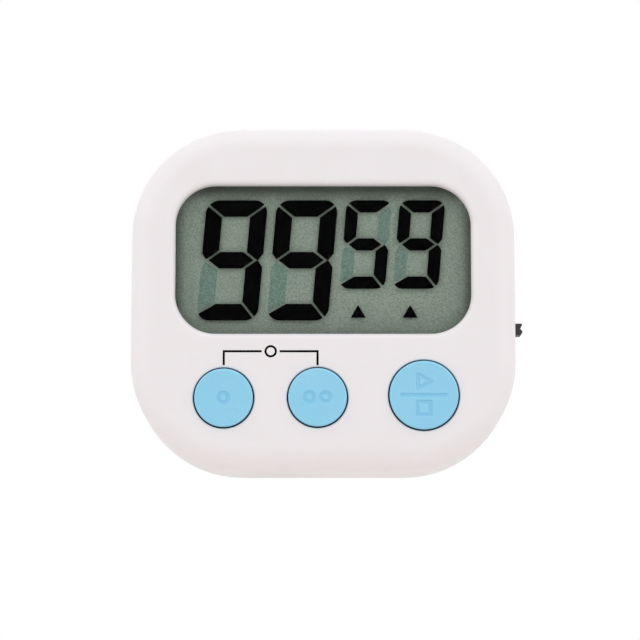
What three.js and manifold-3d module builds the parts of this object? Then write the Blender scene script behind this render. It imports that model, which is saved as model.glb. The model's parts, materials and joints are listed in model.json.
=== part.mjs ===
// A digital countdown timer: a white two-shell case with a liquid crystal display, three
// blue push buttons, a slide switch on its right side, and a back with a battery door, a
// fold-out stand, two magnets and a keyhole to hang it by.
//
// Millimetres. +X is right as seen from the front, +Y runs from the front face to the back
// and +Z is up. The origin is the middle of the flat base, halfway through the case.

import * as THREE from "three";
import { mergeVertices } from "three/addons/utils/BufferGeometryUtils.js";
import Module from "manifold-3d";

const wasm = await Module();
wasm.setup();

// ---------------------------------------------------------------- driving dimensions

const GAP = 0.05; // between two pieces that rest on each other
const CASE = { width: 71.6, height: 64.7, corner: 20.6, front: -10, back: 10, parting: 1, wall: 2 };
const FRONT_FILLET = { across: 4.6, deep: 4.4 };
const BACK_FILLET = { across: 3.5, deep: 3.5 };
const FILLET_STEPS = 3;
const CORNER_STEPS = 3;

const MID_Z = CASE.height / 2;
const FRONT_INSIDE = CASE.front + CASE.wall;
const BACK_INSIDE = CASE.back - CASE.wall;

const TONGUE = { outer: 1.2, inner: 2, height: 1.2, play: 0.25 };
const WINDOW = { width: 55, height: 28, corner: 7.5, z: MID_Z + 7, round: 0.7 };
const LENS = { margin: 1.6, thickness: 0.75 };

const KEYS = {
  minutes: { x: -18.35, z: 13.3, radius: 5.4 },
  seconds: { x: -1.05, z: 13.4, radius: 5.4 },
  start_stop: { x: 18.55, z: 13.8, radius: 6.35 },
};
const KEY = { play: 0.25, proud: 0.7, flange: 0.85, flangeTop: 0.1, flangeDeep: 0.8, back: -6.85 };

const GLASS = { halfWidth: 29, bottom: 21.5, top: 54.4, ledge: 2.4, sheet: 1.1 };
const POLARISER_FRONT = -7.1;
const POLARISER_SHEET = 0.2;
const REFLECTOR_SHEET = 0.25;

const BOARD = { front: -3, back: -1.8, bottom: 4.8, shoulder: 21.4, top: 37.6, waist: 25.4, wide: 33.1 };
const BOARD_SCREWS = [[-31.3, 35], [31.3, 35], [-9.5, 8], [9.5, 8]];
const CASE_SCREWS = [[-15, 59], [15, 59], [-28.5, 18], [28.5, 18]];
const BOARD_SCREW = { head: 1.75, headHeight: 1, shank: 0.85, length: 4.6, pilot: 1.05, boss: 1.9 };
const CASE_SCREW = { head: 1.9, headHeight: 1.4, shank: 0.95, length: 7.6, pilot: 1.15, boss: 2.3 };
const COLUMN = { radius: 3.1, foot: 1.3, seat: 3.6, counterbore: 2.2 };

const CELL = { radius: 5.15, length: 44.5, nub: 1.9, nubHeight: 1.2, z: 46.1, y: 2.65 };
const BAY = { halfLength: 26, halfHeight: 5.8, floor: -2.7, wall: 1.2, base: 1, rim: 2.6 };
const DOOR = { halfWidth: 27.7, halfHeight: 7.5, thickness: 1.6, play: 0.3, corner: 1.5 };
const DOOR_TAB = { inner: 19.5, outer: 23, reach: 1.3, thickness: 1 };

const STAND = { halfWidth: 14, play: 0.5, front: 7.55, back: 9.85, bottom: 2.6, hingeY: 8.5, hingeZ: 33 };
const STAND_WELL = { floor: 7.4, base: 5.8, top: 35.5 };
const STAND_PIN = { radius: 1, length: 1.8, play: 0.2 };
const STAND_STOP_DEG = 40;
const STAND_HOLE = { halfWidth: 7.5, bottom: 9.5, top: 25.5, corner: 2.5 };

const MAGNET = { radius: 5, thickness: 2.2, x: 23, z: 28, proud: 0.2, play: 0.2 };
const KEYHOLE = { z: 57, radius: 2.4, neck: 1.25, neckZ: 59.3 };
const BUZZER = { radius: 10, ceramic: 7, z: 17.5, hole: 0.8, ring: 3.4, holes: 6 };

const SWITCH = { z: 27.3, y: 0.05, travel: 2, left: 29.2, right: 32.9, halfLength: 4.8, halfHeight: 1.75 };
const KNOB = { halfHeight: 1.12, halfDepth: 1.3, inner: 34.2, outer: 37.55, play: 0.3 };

// ---------------------------------------------------------------- solids from geometries

// A closed three.js geometry as a manifold solid that faces out.
function solid(geometry) {
  const loose = geometry.index ? geometry.toNonIndexed() : geometry.clone();
  const bare = new THREE.BufferGeometry().setAttribute("position", loose.getAttribute("position"));
  const merged = mergeVertices(bare, 1e-4);
  const index = merged.index.array;
  const triVerts = [];
  for (let i = 0; i < index.length; i += 3) {
    const [a, b, c] = index.slice(i, i + 3);
    if (a !== b && b !== c && c !== a) triVerts.push(a, b, c);
  }
  const make = (verts) =>
    new wasm.Manifold(
      new wasm.Mesh({
        numProp: 3,
        vertProperties: merged.attributes.position.array,
        triVerts: new Uint32Array(verts),
      }),
    );
  const made = make(triVerts);
  return made.volume() > 0 ? made : make(triVerts.reverse());
}

// A manifold solid back as a three.js geometry.
function geometryOf(manifold) {
  const mesh = manifold.getMesh();
  const positions = new Float32Array(mesh.numVert * 3);
  for (let i = 0; i < mesh.numVert; i++) {
    positions.set(mesh.vertProperties.subarray(i * mesh.numProp, i * mesh.numProp + 3), i * 3);
  }
  const geometry = new THREE.BufferGeometry();
  geometry.setAttribute("position", new THREE.BufferAttribute(positions, 3));
  geometry.setIndex(new THREE.BufferAttribute(mesh.triVerts, 1));
  geometry.computeVertexNormals();
  return geometry;
}

const join = (...solids) => solids.reduce((all, next) => all.add(next));
const cut = (from, ...tools) => tools.reduce((left, tool) => left.subtract(tool), from);

function box(x0, x1, y0, y1, z0, z1) {
  const geometry = new THREE.BoxGeometry(x1 - x0, y1 - y0, z1 - z0);
  return solid(geometry.translate((x0 + x1) / 2, (y0 + y1) / 2, (z0 + z1) / 2));
}

// A shape drawn in X and Z, made solid from y0 to y1.
function slab(shape, y0, y1) {
  const options = { depth: y1 - y0, bevelEnabled: false, curveSegments: CORNER_STEPS };
  return solid(new THREE.ExtrudeGeometry(shape, options).rotateX(Math.PI / 2).translate(0, y1, 0));
}

// A shape drawn in Y and Z, made solid from x0 to x1.
function bar(shape, x0, x1) {
  const turn = new THREE.Matrix4().makeBasis(
    new THREE.Vector3(0, 1, 0),
    new THREE.Vector3(0, 0, 1),
    new THREE.Vector3(1, 0, 0),
  );
  const geometry = new THREE.ExtrudeGeometry(shape, { depth: x1 - x0, bevelEnabled: false });
  return solid(geometry.applyMatrix4(turn).translate(x0, 0, 0));
}

// A cylinder along Y.
function rod(radius, y0, y1, x = 0, z = 0, sides = 24) {
  const geometry = new THREE.CylinderGeometry(radius, radius, y1 - y0, sides);
  return solid(geometry.translate(x, (y0 + y1) / 2, z));
}

// A cylinder along X.
function rodX(radius, x0, x1, y, z, sides = 24) {
  const geometry = new THREE.CylinderGeometry(radius, radius, x1 - x0, sides).rotateZ(Math.PI / 2);
  return solid(geometry.translate((x0 + x1) / 2, y, z));
}

// A profile of [radius, y] points turned round the Y axis.
function turned(profile, sides = 24) {
  const points = profile.map(([r, y]) => new THREE.Vector2(r, y));
  return solid(new THREE.LatheGeometry(points, sides));
}

// A round cord along a smooth curve through the points.
function cord(points, radius, steps, sides = 6) {
  const section = new THREE.Shape().absarc(0, 0, radius, 0, 2 * Math.PI);
  const extrudePath = new THREE.CatmullRomCurve3(points.map((p) => new THREE.Vector3(...p)));
  const options = { steps, extrudePath, curveSegments: sides / 2 };
  return solid(new THREE.ExtrudeGeometry(section, options));
}

function roundedRect(width, height, corner, x = 0, z = 0) {
  const dx = width / 2 - corner;
  const dz = height / 2 - corner;
  const shape = new THREE.Shape();
  shape.absarc(x + dx, z + dz, corner, 0, Math.PI / 2);
  shape.absarc(x - dx, z + dz, corner, Math.PI / 2, Math.PI);
  shape.absarc(x - dx, z - dz, corner, Math.PI, 1.5 * Math.PI);
  shape.absarc(x + dx, z - dz, corner, 1.5 * Math.PI, 2 * Math.PI);
  return shape;
}

// The case's outline, drawn in by inset.
function caseOutline(inset) {
  const size = [CASE.width - 2 * inset, CASE.height - 2 * inset, CASE.corner - inset];
  return roundedRect(...size, 0, MID_Z);
}

function windowOutline(margin) {
  const size = [WINDOW.width + 2 * margin, WINDOW.height + 2 * margin, WINDOW.corner + margin];
  return roundedRect(...size, 0, WINDOW.z);
}

// A closed skin through outlines that all have the same number of points. Each level is
// [y, shape], from the front to the back.
function loft(levels) {
  const rings = levels.map(([y, shape]) =>
    shape.getPoints(CORNER_STEPS).slice(0, -1).map((p) => [p.x, y, p.y]),
  );
  const count = rings[0].length;
  const positions = rings.flat(2);
  const index = [];
  for (let level = 0; level + 1 < rings.length; level++) {
    for (let i = 0; i < count; i++) {
      const a = level * count + i;
      const b = level * count + ((i + 1) % count);
      index.push(a, b, b + count, a, b + count, a + count);
    }
  }
  const last = (rings.length - 1) * count;
  for (let i = 1; i + 1 < count; i++) index.push(0, i + 1, i, last, last + i, last + i + 1);
  const geometry = new THREE.BufferGeometry();
  geometry.setAttribute("position", new THREE.Float32BufferAttribute(positions, 3));
  return solid(geometry.setIndex(index));
}

// ---------------------------------------------------------------- materials

const paint = (color, roughness, metalness = 0) =>
  new THREE.MeshStandardMaterial({ color, roughness, metalness });

const COLOURS = {
  whiteAbs: () => paint(0xece8e9, 0.45),
  blueAbs: () => paint(0x86cdec, 0.35),
  blackPom: () => paint(0x38353a, 0.5),
  greyRubber: () => paint(0xb9bcbb, 0.8),
  carbon: () => paint(0x1c1c1e, 0.85),
  glass: () => paint(0xc9d3cd, 0.08),
  polariser: () => paint(0x76857b, 0.35),
  foam: () => paint(0x2b2b2d, 0.9),
  zebra: () => paint(0xd8b9c2, 0.7),
  board: () => paint(0x2d6a45, 0.5),
  epoxy: () => paint(0x111113, 0.3),
  steel: () => paint(0xc6c8ca, 0.3, 1),
  brass: () => paint(0xc9a654, 0.35, 1),
  ceramic: () => paint(0xded9cd, 0.6),
  cellJacket: () => paint(0x4d7f9c, 0.35, 0.3),
  ferrite: () => paint(0x3a3b3f, 0.55),
  redWire: () => paint(0xb3261e, 0.5),
  blackWire: () => paint(0x202022, 0.5),
  chip: () => paint(0x2a2a2c, 0.5),
};

// ---------------------------------------------------------------- case shells

// The rounded front edge, as loft levels from the face back to the side wall.
function frontFillet() {
  return Array.from({ length: FILLET_STEPS + 1 }, (_, i) => {
    const turn = (i / FILLET_STEPS) * (Math.PI / 2);
    const y = CASE.front + FRONT_FILLET.deep * (1 - Math.cos(turn));
    return [y, caseOutline(FRONT_FILLET.across * (1 - Math.sin(turn)))];
  });
}

// The rounded back edge, from the side wall to the back face.
function backFillet() {
  return Array.from({ length: FILLET_STEPS + 1 }, (_, i) => {
    const turn = (i / FILLET_STEPS) * (Math.PI / 2);
    const y = CASE.back - BACK_FILLET.deep * (1 - Math.sin(turn));
    return [y, caseOutline(BACK_FILLET.across * (1 - Math.cos(turn)))];
  });
}

// The opening for the switch's knob, which both shells share.
function knobSlot() {
  const halfDepth = KNOB.halfDepth + KNOB.play;
  const bottom = SWITCH.z - SWITCH.travel - KNOB.halfHeight - KNOB.play;
  const top = SWITCH.z + KNOB.halfHeight + KNOB.play;
  const inner = CASE.width / 2 - 3;
  return box(inner, CASE.width / 2 + 1, SWITCH.y - halfDepth, SWITCH.y + halfDepth, bottom, top);
}

function screwBoss(screw, top, [x, z]) {
  const boss = rod(screw.boss, FRONT_INSIDE - 0.1, top, x, z, 12);
  return cut(boss, rod(screw.pilot, FRONT_INSIDE + 1, top + 1, x, z, 8));
}

function frontCover() {
  const rim = CASE.parting;
  const hollow = loft([
    [FRONT_INSIDE, caseOutline(4.4)],
    [FRONT_INSIDE + 0.7, caseOutline(3)],
    [FRONT_INSIDE + 2.4, caseOutline(2.2)],
    [rim + 0.01, caseOutline(TONGUE.inner)],
  ]);
  let cover = cut(loft([...frontFillet(), [rim, caseOutline(0)]]), hollow);

  // The tongue that centres the back cover, standing out of the rim.
  const tongueBase = rim - 1;
  const tongue = cut(
    slab(caseOutline(TONGUE.outer), tongueBase, rim + TONGUE.height),
    slab(caseOutline(TONGUE.inner), tongueBase - 1, rim + TONGUE.height + 1),
  );
  cover = join(cover, tongue);

  // Bosses for the screws, and ribs that hold the display and its connector.
  const boardBosses = BOARD_SCREWS.map((at) => screwBoss(BOARD_SCREW, BOARD.front - GAP, at));
  const caseBosses = CASE_SCREWS.map((at) => screwBoss(CASE_SCREW, rim + 0.1, at));
  const ribStart = FRONT_INSIDE - 0.1;
  const sideRib = GLASS.halfWidth + 0.5;
  const ribs = [
    box(-sideRib - 0.9, -sideRib, ribStart, -4.6, 27, 46),
    box(sideRib, sideRib + 0.9, ribStart, -4.6, 27, 46),
    box(-27, 27, ribStart, -3.6, GLASS.bottom - 1.4, GLASS.bottom - 0.5),
  ];
  const keyRooms = Object.values(KEYS).map(({ x, z, radius }) =>
    rod(radius + KEY.flange + 0.3, FRONT_INSIDE, 0, x, z, 32),
  );
  cover = join(cover, ...boardBosses, ...caseBosses, ...ribs.map((rib) => cut(rib, ...keyRooms)));

  // A small post beside each button keeps its mark upright.
  for (const { x, z, radius } of Object.values(KEYS)) {
    const edge = z + radius + KEY.flange;
    cover = join(cover, box(x - 0.4, x + 0.4, ribStart, -6, edge - 0.4, edge + 0.35));
    const hole = radius + KEY.play;
    const holeTool = turned([
      [0, CASE.front - 1],
      [hole + 0.3, CASE.front - 1],
      [hole + 0.3, CASE.front],
      [hole, CASE.front + 0.3],
      [hole, FRONT_INSIDE + 0.5],
      [0, FRONT_INSIDE + 0.5],
    ], 24);
    cover = cut(cover, holeTool.translate([x, 0, z]));
  }

  const opening = loft([
    [CASE.front - 0.2, windowOutline(WINDOW.round)],
    [CASE.front, windowOutline(WINDOW.round)],
    [CASE.front + 0.3 * WINDOW.round, windowOutline(0.3 * WINDOW.round)],
    [CASE.front + WINDOW.round, windowOutline(0)],
    [FRONT_INSIDE + 0.5, windowOutline(0)],
  ]);
  return cut(cover, opening, knobSlot());
}

// Walls of the battery bay, with a wider rim at the back that carries the door's ledge.
function bayWalls() {
  const { halfLength, halfHeight, floor, wall, base, rim } = BAY;
  const x = halfLength + wall;
  const dz = halfHeight + wall;
  return join(
    box(-x, x, floor - base, 7, CELL.z - dz, CELL.z + dz),
    box(-halfLength - rim, halfLength + rim, 6.8, BACK_INSIDE + 0.1, CELL.z - halfHeight - rim, CELL.z + halfHeight + rim),
  );
}

// What the battery, its contacts and its door take out of the back cover.
function bayTools() {
  const { halfLength, halfHeight, floor, wall } = BAY;
  const doorFront = CASE.back - DOOR.thickness - 0.1;
  const shelf = roundedRect(
    2 * (DOOR.halfWidth + DOOR.play),
    2 * (DOOR.halfHeight + DOOR.play),
    DOOR.corner + DOOR.play,
    0,
    CELL.z,
  );
  const doorTop = CELL.z + DOOR.halfHeight;
  const tabPocket = (side) => {
    const [a, b] = [side * (DOOR_TAB.inner - 0.4), side * (DOOR_TAB.outer + 0.4)].sort((p, q) => p - q);
    return box(a, b, 6.4, doorFront + 0.1, CELL.z + halfHeight - 1, doorTop + DOOR_TAB.reach + 0.5);
  };
  const contactSlot = (side) => {
    const [a, b] = [side * (halfLength - 0.2), side * (halfLength + wall + 0.2)].sort((p, q) => p - q);
    return box(a, b, 1.4, 2.6, CELL.z - 1.4, CELL.z + 1.4);
  };
  const thumbNotch = roundedRect(10, 5, 2, 0, CELL.z - DOOR.halfHeight);
  return [
    box(-halfLength, halfLength, floor, CASE.back + 1, CELL.z - halfHeight, CELL.z + halfHeight),
    slab(shelf, doorFront, CASE.back + 1),
    slab(thumbNotch, doorFront + 0.4, CASE.back + 1),
    tabPocket(-1),
    tabPocket(1),
    contactSlot(-1),
    contactSlot(1),
  ];
}

function keyhole() {
  const start = BACK_INSIDE - 1;
  const end = CASE.back + 1;
  return join(
    rod(KEYHOLE.radius, start, end, 0, KEYHOLE.z, 16),
    rod(KEYHOLE.neck, start, end, 0, KEYHOLE.neckZ, 12),
    box(-KEYHOLE.neck, KEYHOLE.neck, start, end, KEYHOLE.z, KEYHOLE.neckZ),
  );
}

function soundHoles() {
  const around = Array.from({ length: BUZZER.holes }, (_, i) => {
    const turn = (i / BUZZER.holes) * 2 * Math.PI;
    return [BUZZER.ring * Math.sin(turn), BUZZER.z + BUZZER.ring * Math.cos(turn)];
  });
  return [[0, BUZZER.z], ...around].map(([x, z]) =>
    rod(BUZZER.hole, STAND_WELL.base - 1, STAND_WELL.floor + 1, x, z, 6),
  );
}

function backCover() {
  const rim = CASE.parting;
  const hollow = loft([
    [rim - 0.01, caseOutline(CASE.wall)],
    [BACK_INSIDE - 1.7, caseOutline(CASE.wall)],
    [BACK_INSIDE - 0.6, caseOutline(3.2)],
    [BACK_INSIDE, caseOutline(4.6)],
  ]);
  const groove = slab(
    caseOutline(TONGUE.outer - TONGUE.play),
    rim - 1,
    rim + TONGUE.height + TONGUE.play,
  );
  let cover = cut(loft([[rim, caseOutline(0)], ...backFillet()]), hollow, groove);

  const wellWall = STAND.halfWidth + STAND.play + 3;
  const magnetSeat = CASE.back + MAGNET.proud - MAGNET.thickness - GAP;
  const solidParts = [
    bayWalls(),
    box(-wellWall, wellWall, STAND_WELL.base, BACK_INSIDE + 0.1, 1.8, STAND_WELL.top + 0.9),
    ...CASE_SCREWS.map(([x, z]) => rod(COLUMN.radius, COLUMN.foot, BACK_INSIDE + 0.1, x, z, 12)),
    ...[-1, 1].map((side) =>
      rod(MAGNET.radius + 1.2, magnetSeat - 1, BACK_INSIDE + 0.1, side * MAGNET.x, MAGNET.z),
    ),
    // The ring that holds the buzzer, with a shelf for its rim.
    cut(
      rod(BUZZER.radius + 1, 4.3, STAND_WELL.base + 0.1, 0, BUZZER.z, 20),
      rod(BUZZER.radius + 0.2, 4, STAND_WELL.base - 0.3, 0, BUZZER.z, 20),
      rod(BUZZER.radius - 1, 4, STAND_WELL.base, 0, BUZZER.z, 20),
    ),
  ];
  cover = join(cover, ...solidParts);

  const well = STAND.halfWidth + STAND.play;
  const bore = STAND_PIN.radius + STAND_PIN.play;
  const boreEnd = STAND.halfWidth + STAND_PIN.length + 0.4;
  const tools = [
    ...bayTools(),
    keyhole(),
    ...soundHoles(),
    knobSlot(),
    box(-well, well, STAND_WELL.floor, CASE.back + 1, -1, STAND_WELL.top),
    rodX(bore, -boreEnd, boreEnd, STAND.hingeY, STAND.hingeZ, 16),
    ...CASE_SCREWS.flatMap(([x, z]) => [
      rod(COLUMN.counterbore, COLUMN.seat, CASE.back + 1, x, z, 12),
      rod(CASE_SCREW.pilot + 0.1, 0, COLUMN.seat + 1, x, z, 8),
    ]),
    ...[-1, 1].map((side) =>
      rod(MAGNET.radius + MAGNET.play, magnetSeat, CASE.back + 1, side * MAGNET.x, MAGNET.z, 20),
    ),
  ];
  return cut(cover, ...tools);
}

// ---------------------------------------------------------------- pieces on the back

// The door pivots on two tabs under the cover's upper lip. Its lower edge has the catch.
function batteryDoor() {
  const { halfWidth, halfHeight, thickness, corner } = DOOR;
  const back = CASE.back;
  const front = back - thickness;
  const plate = slab(roundedRect(2 * halfWidth, 2 * halfHeight, corner, 0, CELL.z), front, back);
  const top = CELL.z + halfHeight;
  const tab = (side) => {
    const [a, b] = [side * DOOR_TAB.inner, side * DOOR_TAB.outer].sort((p, q) => p - q);
    const under = front - DOOR_TAB.thickness - 0.15;
    return join(
      box(a, b, under, under + DOOR_TAB.thickness, top - 1.2, top + DOOR_TAB.reach),
      box(a, b, under, front + 0.1, top - 1.2, top - 0.2),
    );
  };
  const catchNub = box(-3, 3, front + 0.2, front + 0.8, CELL.z - halfHeight - 0.2, CELL.z - halfHeight + 0.2);
  const grip = [0, 1, 2].map((i) => {
    const z = CELL.z - halfHeight + 1.4 + i * 1.2;
    return box(-5, 5, back - 0.35, back + 1, z, z + 0.5);
  });
  return cut(join(plate, tab(-1), tab(1), catchNub), ...grip);
}

// The stand's section at the hinge: a rounded end with a heel that meets the well's floor
// when the leg has opened to its stop.
function hingeSection() {
  const stop = THREE.MathUtils.degToRad(STAND_STOP_DEG);
  const toFloor = STAND.hingeY - STAND_WELL.floor - GAP;
  const closed = (y, z) => [
    y * Math.cos(stop) + z * Math.sin(stop),
    z * Math.cos(stop) - y * Math.sin(stop),
  ];
  const inner = STAND.front - STAND.hingeY;
  const outer = STAND.back - STAND.hingeY;
  const points = [
    [outer, -3],
    [outer, 1.7],
    closed(-toFloor, 1.9),
    closed(-toFloor, 0.4),
    [inner, 0.3],
    [inner, -3],
  ];
  return new THREE.Shape(points.map(([y, z]) => new THREE.Vector2(STAND.hingeY + y, STAND.hingeZ + z)));
}

function stand() {
  const { halfWidth, front, back, bottom, hingeY, hingeZ } = STAND;
  const height = hingeZ - bottom;
  const outline = roundedRect(2 * halfWidth, height + 6, 3, 0, bottom + (height + 6) / 2);
  const hole = roundedRect(
    2 * STAND_HOLE.halfWidth,
    STAND_HOLE.top - STAND_HOLE.bottom,
    STAND_HOLE.corner,
    0,
    (STAND_HOLE.top + STAND_HOLE.bottom) / 2,
  );
  outline.holes.push(new THREE.Path(hole.getPoints(CORNER_STEPS)));
  const leg = cut(slab(outline, front, back), box(-20, 20, 0, 20, hingeZ - 1, hingeZ + 20));
  const pin = halfWidth + STAND_PIN.length;
  return join(
    leg,
    bar(hingeSection(), -halfWidth, halfWidth),
    rodX(STAND_PIN.radius, -pin, pin, hingeY, hingeZ, 16),
  );
}

function magnet() {
  const r = MAGNET.radius;
  const t = MAGNET.thickness;
  return turned([[0, 0], [r, 0], [r, t - 0.3], [r - 0.3, t], [0, t]], 20);
}

// ---------------------------------------------------------------- display

const sheet = (y0, thickness, bottom, top) =>
  box(-GLASS.halfWidth, GLASS.halfWidth, y0, y0 + thickness, bottom, top);

const frontGlassY = POLARISER_FRONT + POLARISER_SHEET + GAP;
const rearGlassY = frontGlassY + GLASS.sheet + GAP;
const reflectorY = rearGlassY + GLASS.sheet + GAP;
const rearGlassBottom = GLASS.bottom + GLASS.ledge;

function windowLens() {
  const front = FRONT_INSIDE + GAP;
  return slab(windowOutline(LENS.margin), front, front + LENS.thickness);
}

// The striped rubber bar that joins the glass's ledge to the circuit board.
function zebraStrip() {
  const front = frontGlassY + GLASS.sheet + GAP;
  return box(-26, 26, front, BOARD.front - GAP, GLASS.bottom + 0.4, rearGlassBottom - 0.3);
}

// ---------------------------------------------------------------- buttons and keypad

// A button cap about its own axis: a thin-walled cap with a retaining flange and a stem.
function buttonCap(radius) {
  const face = CASE.front - KEY.proud;
  const flange = radius + KEY.flange;
  const top = FRONT_INSIDE + KEY.flangeTop;
  const under = top + KEY.flangeDeep;
  const cap = turned([
    [0, face],
    [radius - 0.5, face],
    [radius - 0.13, face + 0.17],
    [radius, face + 0.55],
    [radius, top],
    [flange, top],
    [flange, under],
    [radius - 1.2, under],
    [radius - 1.2, face + 1.4],
    [2.6, face + 1.4],
    [2.6, KEY.back],
    [0, KEY.back],
  ], 24);
  return cut(cap, box(-0.75, 0.75, top - 0.5, under + 1, flange - 0.75, flange + 1));
}

const PAD = {
  width: 50.4,
  height: 14.4,
  corner: 3,
  z: 12.1,
  front: -4.1,
  back: BOARD.front - GAP,
  skirtTop: -5.6,
  boss: 3.5,
  bossFront: -6.8,
  bossBack: -4.4,
};
const PILL = { radius: 2, thickness: 0.5 };

// The rubber sheet under the buttons, with a thin skirt rising round each contact.
function keypadSheet() {
  let pad = slab(roundedRect(PAD.width, PAD.height, PAD.corner, 0, PAD.z), PAD.front, PAD.back);
  for (const { x, z } of Object.values(KEYS)) {
    const skirt = turned([
      [4.3, PAD.front + 0.3],
      [5.1, PAD.front + 0.3],
      [5.1, PAD.front - 0.1],
      [4.3, PAD.skirtTop],
      [3.75, PAD.skirtTop],
      [4.3, PAD.front - 0.1],
      [4.3, PAD.front + 0.3],
    ], 12);
    pad = cut(pad, rod(4.3, PAD.front - 1, PAD.back + 1, x, z, 12));
    pad = join(pad, skirt.translate([x, 0, z]));
  }
  const nearBosses = BOARD_SCREWS.filter(([, z]) => z < BOARD.shoulder);
  return cut(pad, ...nearBosses.map(([x, z]) => rod(2.5, PAD.front - 1, PAD.back + 1, x, z, 8)));
}

const keypadBoss = () => rod(PAD.boss, PAD.bossFront, PAD.bossBack, 0, 0, 12);
const carbonPill = () => rod(PILL.radius, PAD.bossBack + GAP, PAD.bossBack + GAP + PILL.thickness, 0, 0, 12);

// ---------------------------------------------------------------- circuit board

function circuitBoard() {
  const { bottom, shoulder, top, waist, wide } = BOARD;
  const chamfer = 3;
  const half = [
    [waist - chamfer, bottom],
    [waist, bottom + chamfer],
    [waist, shoulder],
    [wide, shoulder],
    [wide, top],
  ];
  const outline = [...half, ...half.map(([x, z]) => [-x, z]).reverse()];
  const shape = new THREE.Shape(outline.map(([x, z]) => new THREE.Vector2(x, z)));
  const tools = BOARD_SCREWS.map(([x, z]) => rod(1.15, BOARD.front - 1, BOARD.back + 1, x, z, 8));
  for (const z of switchPinHeights()) tools.push(rod(0.5, BOARD.front - 1, BOARD.back + 1, switchPinX, z, 8));
  return cut(slab(shape, BOARD.front, BOARD.back), ...tools);
}

const ON_BOARD = BOARD.back + GAP;

// The drop of epoxy over the chip.
function chipBlob() {
  const steps = 4;
  const dome = Array.from({ length: steps + 1 }, (_, i) => {
    const turn = (i / steps) * (Math.PI / 2);
    return [4.8 * Math.cos(turn), 0.2 + 1.1 * Math.sin(turn)];
  });
  return turned([[0, 0], [4.8, 0], ...dome.slice(0, -1), [0, 1.3]], 20);
}

const crystalCan = () => rodX(1, -3, 3, 0, 0, 12);
const capacitor = () => turned([[0, 0], [2, 0], [2, 4.6], [1.7, 5], [0, 5]], 16);
const resistor = () => box(-1, 1, 0, 0.55, -0.6, 0.6);
const transistor = () => box(-1.45, 1.45, 0, 1, -0.7, 0.7);

function buzzerCoil() {
  return turned([[0, 0], [2.6, 0], [2.6, 0.7], [1.6, 0.7], [1.6, 3.2], [2.6, 3.2], [2.6, 3.9], [0, 3.9]], 16);
}

// ---------------------------------------------------------------- slide switch

const switchPinX = SWITCH.left + 1.2;
const switchPinHeights = () => [-2.5, 0, 2.5].map((dz) => SWITCH.z - SWITCH.travel / 2 + dz);
const switchMid = SWITCH.z - SWITCH.travel / 2;

// The bent steel cover, open towards the board, with a slot for the knob's stem.
function switchShell() {
  const { left, right, halfLength, halfHeight, y } = SWITCH;
  const skin = 0.25;
  const shell = box(left, right, ON_BOARD, y + halfHeight, switchMid - halfLength, switchMid + halfLength);
  const room = box(
    left + skin,
    right - skin,
    ON_BOARD - 1,
    y + halfHeight - skin,
    switchMid - halfLength + skin,
    switchMid + halfLength - skin,
  );
  const slot = box(right - 1, right + 1, y - 1, y + 1, switchMid - 2.3, switchMid + 2.3);
  return cut(shell, room, slot);
}

// The laminate base inside the cover, with its three contact pins through the board.
function switchBase() {
  const { left, right, halfLength } = SWITCH;
  const skin = 0.35;
  return box(
    left + skin,
    right - skin,
    ON_BOARD,
    ON_BOARD + 0.4,
    switchMid - halfLength + skin,
    switchMid + halfLength - skin,
  );
}

const switchPin = () => rod(0.3, BOARD.front - 0.8, ON_BOARD - 0.01, 0, 0, 6);

// Slider, stem and the ridged knob that the thumb moves, seen in section from the front.
function switchKnob() {
  const { y } = SWITCH;
  const { halfHeight, halfDepth, inner, outer } = KNOB;
  const ridge = new THREE.Shape(
    [
      [inner, -halfHeight],
      [outer - 0.45, -halfHeight],
      [outer, -0.44],
      [outer - 0.56, 0.28],
      [outer - 0.15, 0.72],
      [outer - 0.15, halfHeight],
      [inner, halfHeight],
    ].map(([x, z]) => new THREE.Vector2(x, SWITCH.z + z)),
  );
  return join(
    slab(ridge, y - halfDepth, y + halfDepth),
    box(SWITCH.right - 0.5, inner + 0.1, y - 0.75, y + 0.75, SWITCH.z - 1.1, SWITCH.z + 1.1),
    box(SWITCH.left + 0.6, SWITCH.right - 0.4, y - 1, y + 1.2, SWITCH.z - 1.9, SWITCH.z + 1.9),
  );
}

// ---------------------------------------------------------------- battery and contacts

const nubTip = BAY.halfLength - 0.7;
const cellEnd = nubTip - CELL.nubHeight;
const cellStart = nubTip - CELL.length;

function batteryCell() {
  const r = CELL.radius;
  const chamfer = 0.4;
  const length = cellEnd - GAP - cellStart;
  const profile = [
    [0, 0],
    [r - chamfer, 0],
    [r, chamfer],
    [r, length - chamfer],
    [r - chamfer, length],
    [0, length],
  ];
  return turned(profile, 24);
}

const batteryCap = () => turned([[0, 0], [CELL.nub, 0], [CELL.nub, 0.9], [1.6, 1.2], [0, 1.2]], 16);

// A flat contact in the end of the bay, with a tail out through the wall to its wire.
function contactPlate(side) {
  const [a, b] = [side * (BAY.halfLength - 0.6), side * (BAY.halfLength - 0.2)].sort((p, q) => p - q);
  const [c, d] = [side * (BAY.halfLength - 0.6), side * (BAY.halfLength + 3.4)].sort((p, q) => p - q);
  return join(
    box(a, b, -1.8, 7.2, CELL.z - 4.3, CELL.z + 4.3),
    box(c, d, 1.8, 2.2, CELL.z - 1, CELL.z + 1),
  );
}

// The negative contact's coil spring, pressed to its working length by the cell.
function contactSpring() {
  const turns = 3;
  const perTurn = 12;
  const wire = 0.4;
  const start = -BAY.halfLength + 0.6 + wire + GAP;
  const end = cellStart - wire - GAP;
  const points = Array.from({ length: turns * perTurn + 1 }, (_, i) => {
    const share = i / (turns * perTurn);
    const turn = share * turns * 2 * Math.PI;
    const radius = 3.6 - 1.4 * share;
    const x = start + (end - start) * share;
    return [x, CELL.y + radius * Math.cos(turn), CELL.z + radius * Math.sin(turn)];
  });
  return cord(points, wire, turns * perTurn);
}

// ---------------------------------------------------------------- the assembly

const timer = new THREE.Group();

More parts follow.
